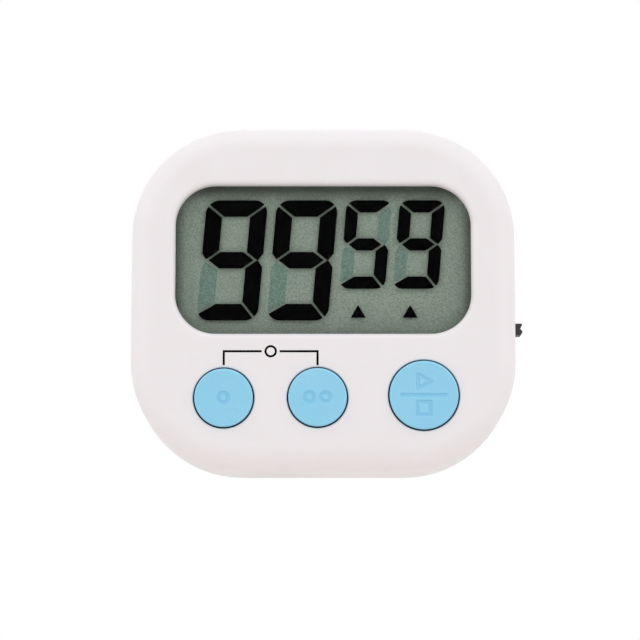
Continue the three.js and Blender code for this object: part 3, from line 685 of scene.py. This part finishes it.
def stand_well():
    """Cutter for the recess that the stand folds into, open at the bottom edge."""
    play = 0.5
    half_width = STAND_HALF_WIDTH + play
    floor_y = STAND_LOW.y - 0.1
    top = STAND_HIGH.z + 0.4
    outline = rounded_rect(2 * half_width, top + 12, 1.6, 0, top / 2 - 6, 6)
    return outline_cutter(outline, floor_y, BEYOND_BACK)


def door_cutters():
    """Cutters for the battery bay and the ledge that its door sits on."""
    play = 0.3
    width = DOOR_WIDTH + 2 * play
    height = DOOR_HEIGHT + 2 * play
    ledge = rounded_rect(width, height, DOOR_CORNER + play, 0, DOOR_MIDDLE, 8)
    bay = rounded_rect(52, 11.6, 0.8, 0, DOOR_MIDDLE, 6)
    notch = rounded_rect(10, 5, 2, 0, DOOR_BOTTOM, 8)
    return [
        outline_cutter(ledge, BACK_Y - 1.7, BEYOND_BACK),
        outline_cutter(bay, REAR_LOW.y + 1, BACK_Y + 0.9),
        outline_cutter(notch, BACK_Y - 1.3, BACK_Y + 0.8),
    ]


def keyhole_cutters():
    """Cutters for the keyhole: a hole for a screw's head and a narrower neck above it."""
    z = 57
    head = 2.4
    neck = 1.25
    neck_z = z + 2.3
    floor_y = BACK_Y - 2.5
    slot = rounded_rect(2 * neck - 0.02, neck_z - z, 0.01, 0, (z + neck_z) / 2, 1)
    round_top = cylinder_cutter(neck, floor_y, BEYOND_BACK, 0, neck_z, 0.05)
    return [
        cylinder_cutter(head, floor_y, BEYOND_BACK, 0, z, 0.2),
        round_top,
        outline_cutter(slot, BACK_Y - 2.4, BACK_Y + 0.9),
    ]


def rear_shell():
    """The back half of the case, with every recess that its back face has."""
    bm = bmesh.new()
    across, deep = BACK_ROUND
    seam_y = PARTING_Y + SEAM / 2
    outer = [ring(bm, case_outline(0.15), seam_y), ring(bm, case_outline(0), seam_y + 0.15)]
    outer += reversed([
        ring(bm, case_outline(across * (1 - a)), BACK_Y - deep * d)
        for a, d in quarter_round()
    ])
    inner = [
        ring(bm, case_outline(WALL), seam_y),
        ring(bm, case_outline(WALL), BACK_Y - WALL - 1.7),
        ring(bm, case_outline(4.6), BACK_Y - WALL),
    ]
    skin(bm, list(reversed(inner)) + outer)
    fill(bm, outer[-1])
    fill(bm, inner[-1])
    shell = new_object("rear_shell", bm)
    combine(shell, [rear_backing()], "UNION")
    cutters = door_cutters() + keyhole_cutters() + [stand_well(), knob_slot()]
    for i in range(1, 5):
        x, z = centre_of(f"case_screw_{i}")
        cutters.append(cylinder_cutter(2.2, SCREW_SEAT_Y, BEYOND_BACK, x, z))
    for side in ("left", "right"):
        x, z = centre_of("magnet_" + side)
        cutters.append(cylinder_cutter(5.2, BACK_Y - MAGNET_RECESS, BEYOND_BACK, x, z, 0.2))
    cut(shell, cutters)
    weigh_normals(shell)
    return finish_piece(shell, "case", "case_plastic", ["rear_cover"])


def rear_backing():
    """The walls behind the recesses: battery bay, stand well, screw columns, magnets."""
    parts = []
    bay_z = CELL_LOW.z + (CELL_HIGH.z - CELL_LOW.z) / 2
    parts.append(block_object((-27.2, REAR_LOW.y, bay_z - 7), (27.2, BACK_Y - 1.9, bay_z + 7)))
    parts.append(block_object((-17.5, 5.8, 2.5), (17.5, BACK_Y - 1.8, 36.4)))
    for i in range(1, 5):
        x, z = centre_of(f"case_screw_{i}")
        bm = bmesh.new()
        lathe(bm, [(0, 1.3), (3.1, 1.3), (3.1, BACK_Y - 1.7), (0, BACK_Y - 1.7)], x, z, 40)
        parts.append(new_object("backing", bm))
    for side in ("left", "right"):
        x, z = centre_of("magnet_" + side)
        bm = bmesh.new()
        lathe(bm, [(0, 7), (6.2, 7), (6.2, BACK_Y - 1.6), (0, BACK_Y - 1.6)], x, z, 48)
        parts.append(new_object("backing", bm))
    combine(parts[0], parts[1:], "UNION")
    return parts[0]


# ---- flat shapes and marks


def is_inside(outline, point):
    """Whether a point lies in an outline: a level line from it crosses the edge an odd
    number of times."""
    crossings = 0
    for (ax, az), (bx, bz) in zip(outline, outline[1:] + outline[:1]):
        if (az > point.y) != (bz > point.y):
            crossings += point.x < ax + (bx - ax) * (point.y - az) / (bz - az)
    return crossings % 2 == 1


def flat_solid(name, outlines, y0, y1):
    """One thin solid of all the outlines of (x, z) points, merged where they overlap."""
    points, faces = [], []
    for outline in outlines:
        faces.append(list(range(len(points), len(points) + len(outline))))
        points += [Vector(p) for p in outline]
    spots, _, triangles, *_ = delaunay_2d_cdt(points, [], faces, 0, 1e-5)
    inside = []
    for triangle in triangles:
        middle = sum((spots[i] for i in triangle), Vector((0, 0))) / 3
        if any(is_inside(outline, middle) for outline in outlines):
            inside.append(triangle)
    used = sorted({i for triangle in inside for i in triangle})
    bm = bmesh.new()
    front = {i: bm.verts.new((spots[i].x, y0, spots[i].y)) for i in used}
    back = {i: bm.verts.new((spots[i].x, y1, spots[i].y)) for i in used}
    rim = set()
    for triangle in inside:
        bm.faces.new([front[i] for i in triangle])
        bm.faces.new([back[i] for i in reversed(triangle)])
        for a, b in zip(triangle, triangle[1:] + triangle[:1]):
            if (b, a) in rim:
                rim.remove((b, a))
            else:
                rim.add((a, b))
    for a, b in sorted(rim):
        bm.faces.new((front[b], front[a], back[a], back[b]))
    return new_object(name, bm)


def arc(cx, cz, rx, rz, start, end, steps=14):
    """Points on an ellipse from start to end degrees, anticlockwise from +X."""
    turns = [math.radians(start + (end - start) * i / steps) for i in range(steps + 1)]
    return [(cx + rx * math.cos(t), cz + rz * math.sin(t)) for t in turns]


def distance_to(strokes, x, z):
    """Distance from a point to the nearest stroke."""
    best = 1e9
    for stroke in strokes:
        for (ax, az), (bx, bz) in zip(stroke, stroke[1:]):
            dx, dz = bx - ax, bz - az
            length2 = dx * dx + dz * dz
            share = ((x - ax) * dx + (z - az) * dz) / length2 if length2 else 0
            share = min(1, max(0, share))
            best = min(best, math.hypot(x - ax - share * dx, z - az - share * dz))
    return best


def ribbons(points, half):
    """A stroke of constant width as outlines, one for each stretch, with mitred joints.
    Steep ends are cut level and flat ends upright, so that they line up."""
    spots = [Vector(p) for p in points]
    ways = [(b - a).normalized() for a, b in zip(spots, spots[1:])]
    sides = []
    for i, here in enumerate(spots):
        into = ways[max(i - 1, 0)]
        out = ways[min(i, len(ways) - 1)]
        if 0 < i < len(ways):
            way = (into + out).normalized()
            across = Vector((-way.y, way.x)) / max(0.4, way.dot(into))
        elif abs(out.y) > 0.5:
            across = Vector((-1 / out.y, 0))
        else:
            across = Vector((0, 1 / out.x))
        sides.append((here + across * half, here - across * half))
    return [
        [tuple(p) for p in (a[1], b[1], b[0], a[0])]
        for a, b in zip(sides, sides[1:])
    ]


def drawn(name, lines, half, y0, y1):
    """One thin solid of all the lines, each drawn with a pen of twice the width half."""
    outlines = [outline for line in lines for outline in ribbons(line, half)]
    return flat_solid(name, outlines, y0, y1)


# ---- printed mark


def reset_mark():
    """A bracket that joins the two left buttons, which together reset the display, with
    a nought on it."""
    half = 0.2
    left, right = (KEYS[name][0] for name in ("minutes", "seconds"))
    foot = KEYS["minutes"][1] + KEYS["minutes"][2] + 0.65
    level = foot + 2.6
    middle = (left + right) / 2
    radius = 0.95
    gap = radius + 0.7
    lines = [arc(middle, level, radius, radius, 0, 360, 36)]
    for x, way in ((left, 1), (right, -1)):
        lines.append([(middle - way * gap, level), (x, level), (x, foot)])
    depth = 0.012
    mark = drawn("reset_mark", lines, half, FACE_Y - depth, FACE_Y + depth)
    return finish_piece(mark, "case", "case_plastic", material=INK)


# ---- buttons


def button_face(bm, x, z, radius, face_y, strokes, groove):
    """Rings of a button from its centre to its rim, with the strokes pressed in."""
    half, deep = groove
    dish = 0.12
    angular = 240
    edge = radius - 0.5
    radial = round(edge / 0.085)
    rings = []
    for i in range(1, radial + 1):
        r = edge * i / radial
        row = []
        for px, pz in circle(r, x, z, angular):
            away = distance_to(strokes, px - x, pz - z) if strokes else 9
            share = min(1, max(0, (half + 0.1 - away) / 0.2))
            sunk = dish * (1 - (r / edge) ** 2) + deep * share * share * (3 - 2 * share)
            row.append(bm.verts.new((px, face_y + sunk, pz)))
        rings.append(row)
    centre = bm.verts.new((x, face_y + dish, z))
    for i in range(angular):
        bm.faces.new((centre, rings[0][i], rings[0][(i + 1) % angular]))
    rim = 0.5
    for a, d in quarter_round(8)[1:]:
        r = edge + rim * a
        rings.append(ring(bm, circle(r, x, z, angular), face_y + rim * d))
    return rings


def button(name, body, strokes, groove):
    """A button cap: dished face, rounded rim, skirt, and the flange that keeps it in."""
    x, z, radius = KEYS[name]
    low, high = mm_box("button_" + name)
    flange_top = FACE_Y + WALL + 0.1
    flange_under = flange_top + 0.8
    bm = bmesh.new()
    rings = button_face(bm, x, z, radius, low.y, strokes, groove)
    steps = len(rings[0])
    tail = [(radius, flange_top), (radius + KEY_FLANGE, flange_top),
            (radius + KEY_FLANGE, flange_under), (radius - 1.2, flange_under),
            (radius - 1.2, low.y + 1.4), (2.6, low.y + 1.4), (2.6, high.y)]
    rings += [ring(bm, circle(r, x, z, steps), y) for r, y in tail]
    skin(bm, rings)
    fill(bm, rings[-1])
    cap = new_object("cap_" + name, bm, 50)
    return finish_piece(cap, body, "button_plastic", ["button_" + name])


def buttons():
    """The caps, each with a plain mark pressed into it: one dot for minutes, two for
    seconds, and a play triangle over a bar and a stop square for start and stop."""
    groove = (0.3, 0.3)
    ring_size = 0.9
    button("minutes", "minutes_key", [arc(0, 0, ring_size, ring_size, 0, 360)], groove)
    pair = [arc(x, 0, ring_size, ring_size, 0, 360) for x in (-1.5, 1.5)]
    button("seconds", "seconds_key", pair, groove)
    bar = [(-4.1, 0), (4.1, 0)]
    play = [(-1.1, 1.2), (1.4, 2.5), (-1.1, 3.8), (-1.1, 1.2)]
    stop = [(-1.2, -1.3), (1.2, -1.3), (1.2, -3.7), (-1.2, -3.7), (-1.2, -1.3)]
    button("start_stop", "start_stop_key", [bar, play, stop], groove)


# ---- display


def keep_side(outline, point, way, side, margin):
    """The part of a convex outline beside a line through point: its left where side is
    1 and its right where side is -1, less a margin."""
    normal = side * Vector((-way[1], way[0])).normalized()
    kept = []
    for before, here in zip(outline[-1:] + outline[:-1], outline):
        a = (Vector(before) - Vector(point)).dot(normal) - margin
        b = (Vector(here) - Vector(point)).dot(normal) - margin
        if (a < 0) != (b < 0):
            kept.append(tuple(Vector(before).lerp(Vector(here), a / (a - b))))
        if b >= 0:
            kept.append(here)
    return kept


def digit_segments(w, h, t):
    """The seven segments of a digit w wide, h high and t thick. Each is the digit's
    rounded outline, cut by the lines that part it from its neighbours."""
    mid = h / 2
    top_left = ((0, h - 0.2 * t), (1, -0.78))
    top_right = ((w, h - 0.2 * t), (1, 0.76))
    left_up = ((0.3 * t, mid), (1, 0.74))
    left_down = ((0.3 * t, mid), (1, -0.74))
    right_up = ((w - 0.44 * t, mid), (1, -0.74))
    right_down = ((w - 0.44 * t, mid), (1, 0.74))
    bottom_left = ((0, 0.42 * t), (1, 0.61))
    bottom_right = ((w - 0.1 * t, 0), (-0.875, 1))
    left = ((t, 0), (0, 1))
    right = ((w - t, 0), (0, 1))
    top = ((0, h - t), (1, 0))
    bottom = ((0, t), (1, 0))
    over = ((0, mid - t / 2), (1, 0))
    under = ((0, mid + t / 2), (1, 0))
    blunt = 0.3 * t
    cuts = {
        "a": [(top, 1), (top_left, 1), (top_right, 1)],
        "f": [(left, 1), (top_left, -1), (left_up, 1), (((0, mid + blunt), (1, -1.4)), 1)],
        "b": [(right, -1), (top_right, -1), (right_up, 1), (((w, mid + blunt), (1, 1.4)), 1)],
        "g": [(over, 1), (under, -1), (left_up, -1), (left_down, 1), (right_up, -1), (right_down, 1)],
        "e": [(left, 1), (left_down, -1), (bottom_left, 1), (((0, mid - blunt), (1, 1.4)), -1)],
        "c": [(right, -1), (right_down, -1), (bottom_right, -1), (((w, mid - blunt), (1, -1.4)), -1)],
        "d": [(bottom, -1), (bottom_left, -1), (bottom_right, 1)],
    }
    edges = (left, right, top, bottom, over, under)
    segments = {}
    for name, lines in cuts.items():
        outline = rounded_rect(w, h, 0.78 * t, w / 2, h / 2, 8)
        for line, side in lines:
            margin = 0 if line in edges else 0.215
            outline = keep_side(outline, *line, side, margin)
        segments[name] = outline
    return segments


LIT = {"9": "abcdfg", "5": "acdfg"}


def prism(bm, outline, y0, y1):
    """A flat solid with this outline."""
    front = ring(bm, outline, y0)
    back = ring(bm, outline, y1)
    skin(bm, [front, back])
    fill(bm, front)
    fill(bm, back)


SLANT = 0.085
BIG = {"width": 11.45, "height": 22.75, "thick": 3.12, "base": -11.12}
SMALL = {"width": 8.52, "height": 16.8, "thick": 2.32, "base": -5.15}
DIGITS = [("9", -23.7, BIG), ("9", -10.58, BIG), ("5", 3.0, SMALL), ("9", 12.95, SMALL)]
LIT_Y = -6.42
FACE_PLATE_Y = -5.6


def display():
    """The clear front sheet, the lit segments behind it, and the grey-green face
    behind them with its faintly visible unlit segments."""
    sheet_low, sheet_high = mm_box("lcd_front_polariser")
    outline = rounded_rect(sheet_high.x - sheet_low.x, sheet_high.z - sheet_low.z, 0.3,
                           0, (sheet_high.z + sheet_low.z) / 2, 4)
    bm = bmesh.new()
    prism(bm, outline, sheet_low.y, LIT_Y - 0.05)
    sheet = new_object("lcd_clear_sheet", bm)
    finish_piece(sheet, "case", "lcd_glass", ["lcd_front_polariser"])
    bm = bmesh.new()
    prism(bm, outline, FACE_PLATE_Y, mm_box("lcd_rear_glass")[1].y)
    face = new_object("lcd_grey_face", bm)
    finish_piece(face, "case", "polariser", ["lcd_front_glass", "lcd_rear_glass"])
    lit, unlit = bmesh.new(), bmesh.new()
    for text, x, size in DIGITS:
        z = WINDOW["z"] + size["base"]
        for name, outline in digit_segments(size["width"], size["height"], size["thick"]).items():
            placed = [(x + px + SLANT * pz, z + pz) for px, pz in outline]
            if name in LIT[text]:
                prism(lit, placed, LIT_Y, LIT_Y + 0.03)
            else:
                prism(unlit, placed, FACE_PLATE_Y - 0.02, FACE_PLATE_Y + 0.02)
    segments = new_object("lcd_lit_segments", lit)
    finish_piece(segments, "case", "polariser", material=INK)
    ghosts = new_object("lcd_unlit_segments", unlit)
    finish_piece(ghosts, "case", "polariser", material=ghost_material())


def display_marks():
    """A small pointer below each pair of small digits."""
    half = 1.4
    height = 2.4
    base = WINDOW["z"] - 10.6
    outlines = []
    for x in (6.5, 16.2):
        outlines.append([(x - half, base), (x + half, base), (x, base + height)])
    marks = flat_solid("lcd_pointer_marks", outlines, LIT_Y, LIT_Y + 0.03)
    finish_piece(marks, "case", "polariser", material=INK)


def window_lens():
    """The clear window behind the opening."""
    bm = bmesh.new()
    rim = 0.15

    def inset(d):
        return window_outline(LENS_MARGIN - d)

    slab(bm, None, LENS_LOW.y, LENS_HIGH.y, rim, rim, inset)
    lens = new_object("window_clear_lens", bm)
    weigh_normals(lens)
    return finish_piece(lens, "case", "clear_plastic", ["window_lens"])


# ---- slide switch


def knob():
    """The slide switch's knob: two ridges with a notch between them."""
    outer = KNOB_HIGH.x
    inner = WIDTH / 2 - 1.7
    half = KNOB_HALF
    ridges = [(inner, -half), (outer - 0.45, -half), (outer, -0.44), (outer - 0.56, 0.28),
              (outer - 0.15, 0.72), (outer - 0.15, half), (inner, half)]
    bm = bmesh.new()
    outline = [(x, KNOB_Z + z) for x, z in ridges]
    prism(bm, outline, KNOB_Y - KNOB_HALF_DEEP, KNOB_Y + KNOB_HALF_DEEP)
    stem_low = (SWITCH_FACE_X - 0.5, KNOB_Y - 0.75, KNOB_Z - 1)
    block(bm, stem_low, (inner + 0.1, KNOB_Y + 0.75, KNOB_Z + 1))
    piece = new_object("switch_knob_ridged", bm)
    round_edges(piece, 0.1, 3, 30)
    return finish_piece(piece, "power_slider", "knob_plastic", ["switch_knob"])


# ---- pieces on the back


def door():
    """The battery door, flush with the back, with grip ribs by its catch."""
    under = BACK_Y - DOOR_THICKNESS
    bm = bmesh.new()

    def inset(d):
        height = DOOR_HEIGHT - 2 * d
        return rounded_rect(DOOR_WIDTH - 2 * d, height, DOOR_CORNER - d * 0.5, 0, DOOR_MIDDLE, 8)

    slab(bm, None, under, BACK_Y, 0.1, 0.35, inset)
    plate = new_object("battery_door_plate", bm)
    grooves = []
    for i in range(4):
        z = DOOR_BOTTOM + 1.6 + i * 1.1
        outline = rounded_rect(9 - i * 1.6, 0.5, 0.24, 0, z, 5)
        grooves.append(outline_cutter(outline, BACK_Y - 0.35, BEYOND_BACK))
    cut(plate, grooves)
    tabs = []
    foot = DOOR_LOW.y
    low_z = DOOR_MIDDLE + 6.3
    for side in (-1, 1):
        x0, x1 = sorted(side * x for x in DOOR_TABS)
        tabs.append(block_object((x0, foot, low_z), (x1, foot + 1, DOOR_HIGH.z)))
        tabs.append(block_object((x0, foot + 1, low_z), (x1, under + 0.02, low_z + 1)))
    piece = join("battery_door_fine", [plate] + tabs)
    round_edges(piece, 0.08, 2, 50)
    return finish_piece(piece, "door", "case_plastic", ["battery_door"])


def stand():
    """The fold-out leg, with its hinge pin and the finger hole through it."""
    front = STAND_LOW.y + 0.05
    back = STAND_HIGH.y
    top = STAND_HIGH.z - 0.45
    bottom = STAND_LOW.z
    height = top - bottom
    bm = bmesh.new()

    def inset(d):
        width = 2 * (STAND_HALF_WIDTH - d)
        return rounded_rect(width, height - 2 * d, 2.4 - d * 0.5, 0, bottom + height / 2, 10)

    slab(bm, None, front, back, 0.4, 0.4, inset)
    leg = new_object("stand_leg_plate", bm)
    hole = rounded_rect(15, 16, 2.5, 0, 17.5, 10)
    grooves = [outline_cutter(hole, front - 1, back + 1)]
    for i in range(4):
        z = bottom + 1.5 + i * 1.1
        outline = rounded_rect(12, 0.5, 0.24, 0, z, 5)
        grooves.append(outline_cutter(outline, back - 0.3, back + 1))
    cut(leg, grooves)
    bm = bmesh.new()
    end, radius, rim = STAND_PIN_HALF, STAND_PIN_RADIUS, 0.1
    half = [(0, end), (radius - rim, end), (radius, end - rim)]
    lathe(bm, [(r, -y) for r, y in half] + half[::-1], 0, 0, 32)
    turn = Matrix.Rotation(math.pi / 2, 4, "Z")
    bmesh.ops.transform(bm, matrix=turn, verts=bm.verts)
    bmesh.ops.translate(bm, vec=(0, STAND_HINGE_Y, STAND_HINGE_Z), verts=bm.verts)
    pin = new_object("pin", bm)
    piece = join("stand_leg_fine", [leg, pin])
    round_edges(piece, 0.12, 2, 50)
    return finish_piece(piece, "stand_leg", "case_plastic", ["stand"])


def magnets():
    for side in ("left", "right"):
        node = "magnet_" + side
        low, high = mm_box(node)
        x, z = centre_of(node)
        radius = (high.x - low.x) / 2
        bm = bmesh.new()
        profile = [(0, low.y), (radius - 0.3, low.y), (radius, low.y + 0.3)]
        profile += [(radius - 0.35 * (1 - math.cos(t)), high.y - 0.35 * (1 - math.sin(t)))
                    for t in (0, 0.4, 0.8, 1.2, math.pi / 2)]
        profile += [(0, high.y)]
        lathe(bm, profile, x, z, 64)
        piece = new_object(node + "_disc", bm)
        weigh_normals(piece)
        finish_piece(piece, "case", "ferrite", [node])


def screw_cutters(x, z, top):
    """Cutters for a cross-shaped driver recess."""
    arm = 1.15
    half = 0.24
    deep = 0.75
    return [
        block_object((x - arm, top - deep, z - half), (x + arm, top + 1, z + half)),
        block_object((x - half, top - deep, z - arm), (x + half, top + 1, z + arm)),
    ]


def case_screws():
    """The four screws seen at the bottom of the back's counterbores."""
    for i in range(1, 5):
        node = f"case_screw_{i}"
        low, high = mm_box(node)
        x, z = centre_of(node)
        seat = 3.65
        profile = [(0, low.y), (0.3, low.y), (0.95, low.y + 1.2), (0.95, seat), (1.9, seat),
                   (1.9, seat + 0.55), (1.75, seat + 0.95), (1.35, seat + 1.27),
                   (0.7, high.y), (0, high.y)]
        bm = bmesh.new()
        lathe(bm, profile, x, z, 40)
        piece = cut(new_object(node + "_fine", bm), screw_cutters(x, z, high.y), 30)
        finish_piece(piece, "case", "steel", [node])


# ---- battery bay


def rounded_profile(radius, start, end, rim):
    """Half profile of a can along Y with rounded rims."""
    points = [(0, start)]
    points += [(radius - rim * (1 - a), start + rim * d) for a, d in quarter_round(5)]
    points += reversed([(radius - rim * (1 - a), end - rim * d) for a, d in quarter_round(5)])
    return points + [(0, end)]


def along_x(bm, x, y, z):
    """Turns a lathe made round Y so that it lies along X, and moves it into place."""
    turn = Matrix.Rotation(-math.pi / 2, 4, "Z")
    bmesh.ops.transform(bm, matrix=turn, verts=bm.verts)
    bmesh.ops.translate(bm, vec=(x, y, z), verts=bm.verts)


def can(name, node, slot_name, rim, steps):
    """A round piece along the cell's axis, with rounded rims."""
    low, high = mm_box(node)
    bm = bmesh.new()
    profile = rounded_profile((high.z - low.z) / 2, 0, high.x - low.x, rim)
    lathe(bm, profile, 0, 0, steps)
    along_x(bm, low.x, CELL_Y, CELL_Z)
    finish_piece(new_object(name, bm), "case", slot_name, [node])


def battery():
    """The AAA cell and its positive cap, seen when the door is open."""
    can("battery_can", "battery_cell", "cell_jacket", 0.5, 72)
    can("battery_cap", "battery_plus_cap", "steel", 0.35, 48)


def tube(bm, points, radius, sides=10):
    """A round wire along the points, closed at both ends."""
    rings = []
    for i, point in enumerate(points):
        here = Vector(point)
        ahead = Vector(points[min(i + 1, len(points) - 1)])
        behind = Vector(points[max(i - 1, 0)])
        along = (ahead - behind).normalized()
        side = along.cross(Vector((1, 0, 0)) if abs(along.x) < 0.9 else Vector((0, 1, 0)))
        side.normalize()
        up = along.cross(side)
        row = []
        for k in range(sides):
            t = k / sides * 2 * math.pi
            row.append(bm.verts.new(here + radius * (math.cos(t) * side + math.sin(t) * up)))
        rings.append(row)
    skin(bm, rings)
    bm.faces.new(rings[0])
    bm.faces.new(list(reversed(rings[-1])))


def spring():
    """The coil spring at the cell's negative end."""
    low, high = mm_box("contact_spring")
    wire = 0.38
    start = low.x + wire
    end = high.x - wire
    turns = 3
    steps = 40
    points = []
    for i in range(turns * steps + 1):
        share = i / (turns * steps)
        angle = share * turns * 2 * math.pi
        radius = 3.6 - 1.4 * share
        x = start + (end - start) * share
        y = CELL_Y + radius * math.cos(angle)
        points.append((x, y, CELL_Z + radius * math.sin(angle)))
    bm = bmesh.new()
    tube(bm, points, wire)
    coil = new_object("negative_coil_spring", bm)
    finish_piece(coil, "case", "steel", ["contact_spring"])


# ---- floor, lights and camera


FLOOR_GLOW = 0.88
FLOOR_FADE = (60, 320)


def floor():
    """A pale floor that fades to white far off, clear from below. It lights the case
    evenly, also where they touch."""
    bm = bmesh.new()
    reach = 3000
    corners = [(-reach, -reach), (reach, -reach), (reach, reach), (-reach, reach)]
    bm.faces.new([bm.verts.new((x, y, 0)) for x, y in corners])
    obj = new_object("floor", bm)
    obj.location.z = -0.02 * MM
    nodes = Nodes("pale_floor")
    nodes.set(Base_Color=(0.80, 0.80, 0.80, 1), Roughness=0.8)
    glow = nodes.add("ShaderNodeEmission")
    glow.inputs["Color"].default_value = (1, 0.95, 0.92, 1)
    glow.inputs["Strength"].default_value = FLOOR_GLOW
    far = nodes.add("ShaderNodeVectorMath")
    far.operation = "LENGTH"
    nodes.link(nodes.place, far.inputs[0])
    white = nodes.add("ShaderNodeEmission")
    fade = nodes.remap(far.outputs["Value"], 0, 1, *FLOOR_FADE)
    shown = nodes.shader_mix(fade, nodes.surface.outputs[0], white.outputs[0])
    path = nodes.add("ShaderNodeLightPath")
    lit = nodes.shader_mix(path.outputs["Is Camera Ray"], glow.outputs[0], shown)
    side = nodes.add("ShaderNodeNewGeometry")
    clear = nodes.add("ShaderNodeBsdfTransparent")
    nodes.show(nodes.shader_mix(side.outputs["Backfacing"], lit, clear.outputs[0]))
    obj.data.materials.append(nodes.material)


WORLD_LIGHT = 0.99


def world():
    """Even studio light, white where the camera sees it, with a dark card round the
    camera so that the window reflects little of it."""
    studio = bpy.data.worlds.new("studio")
    bpy.context.scene.world = studio
    studio.use_nodes = True
    tree = studio.node_tree
    add, link = tree.nodes.new, tree.links.new
    light = tree.nodes["Background"]
    light.inputs["Color"].default_value = (1, 0.995, 1, 1)
    light.inputs["Strength"].default_value = WORLD_LIGHT
    seen = add("ShaderNodeBackground")
    seen.inputs["Color"].default_value = (1, 1, 1, 1)
    card = add("ShaderNodeBackground")
    card.inputs["Strength"].default_value = 0.03
    path = add("ShaderNodeLightPath")
    way = add("ShaderNodeTexCoord")
    split = add("ShaderNodeSeparateXYZ")
    link(way.outputs["Generated"], split.inputs["Vector"])
    front = add("ShaderNodeMapRange")
    front.inputs["From Min"].default_value = -0.80
    front.inputs["From Max"].default_value = -0.93
    link(split.outputs["Y"], front.inputs["Value"])
    both = add("ShaderNodeMath")
    both.operation = "MULTIPLY"
    link(front.outputs["Result"], both.inputs[0])
    link(path.outputs["Is Glossy Ray"], both.inputs[1])
    reflected = add("ShaderNodeMixShader")
    link(both.outputs["Value"], reflected.inputs["Fac"])
    link(light.outputs["Background"], reflected.inputs[1])
    link(card.outputs["Background"], reflected.inputs[2])
    mixed = add("ShaderNodeMixShader")
    link(path.outputs["Is Camera Ray"], mixed.inputs["Fac"])
    link(reflected.outputs["Shader"], mixed.inputs[1])
    link(seen.outputs["Background"], mixed.inputs[2])
    link(mixed.outputs["Shader"], tree.nodes["World Output"].inputs["Surface"])


def softbox(name, place, size, watts, colour=(1, 1, 1)):
    """A square area light that faces the middle of the case."""
    light = bpy.data.lights.new(name, "AREA")
    light.shape = "RECTANGLE"
    light.size, light.size_y = size
    light.energy = watts
    light.color = colour
    obj = bpy.data.objects.new(name, light)
    bpy.context.scene.collection.objects.link(obj)
    obj.location = place
    aim = Vector((0, 0, MIDDLE_Z * MM)) - Vector(place)
    obj.rotation_mode = "QUATERNION"
    obj.rotation_quaternion = aim.to_track_quat("-Z", "Y")


def lights():
    softbox("top_softbox", (-0.08, -0.35, 0.75), (0.7, 0.5), 0.35)
    softbox("left_softbox", (-0.8, -0.5, 0.25), (0.5, 0.7), 0.3)
    softbox("right_softbox", (0.8, -0.5, 0.25), (0.5, 0.7), 0.4)
    softbox("back_softbox", (0, 0.8, 0.5), (0.6, 0.6), 0.7)


CAMERA_ELEVATION = -8.5
CAMERA_DISTANCE = 500
FIELD_WIDTH = 119.5
SENSOR_WIDTH = 36
AIM_LEFT = 0.6
AIM_BELOW = 3.87


def camera():
    """A long lens slightly below the middle of the case, looking up at its front."""
    data = bpy.data.cameras.new("camera")
    data.sensor_width = SENSOR_WIDTH
    data.lens = SENSOR_WIDTH * CAMERA_DISTANCE / FIELD_WIDTH
    obj = bpy.data.objects.new("camera", data)
    bpy.context.scene.collection.objects.link(obj)
    tilt = math.radians(CAMERA_ELEVATION)
    towards = Vector((0, math.cos(tilt), -math.sin(tilt)))
    up = Vector((0, math.sin(tilt), math.cos(tilt)))
    near = Vector((0, FACE_Y + FRONT_ROUND[1], MIDDLE_Z))
    target = near - AIM_LEFT * Vector((1, 0, 0)) - AIM_BELOW * up
    obj.location = (target - towards * CAMERA_DISTANCE) * MM
    obj.rotation_mode = "QUATERNION"
    obj.rotation_quaternion = towards.to_track_quat("-Z", "Y")
    data.clip_start = 0.01
    bpy.context.scene.camera = obj


# ---- the scene

paint_cad_nodes()
front_shell()
rear_shell()
reset_mark()
buttons()
display()
display_marks()
window_lens()
knob()
door()
stand()
magnets()
case_screws()
battery()
spring()
floor()
world()
lights()
camera()
bpy.context.scene.view_settings.view_transform = "Standard"
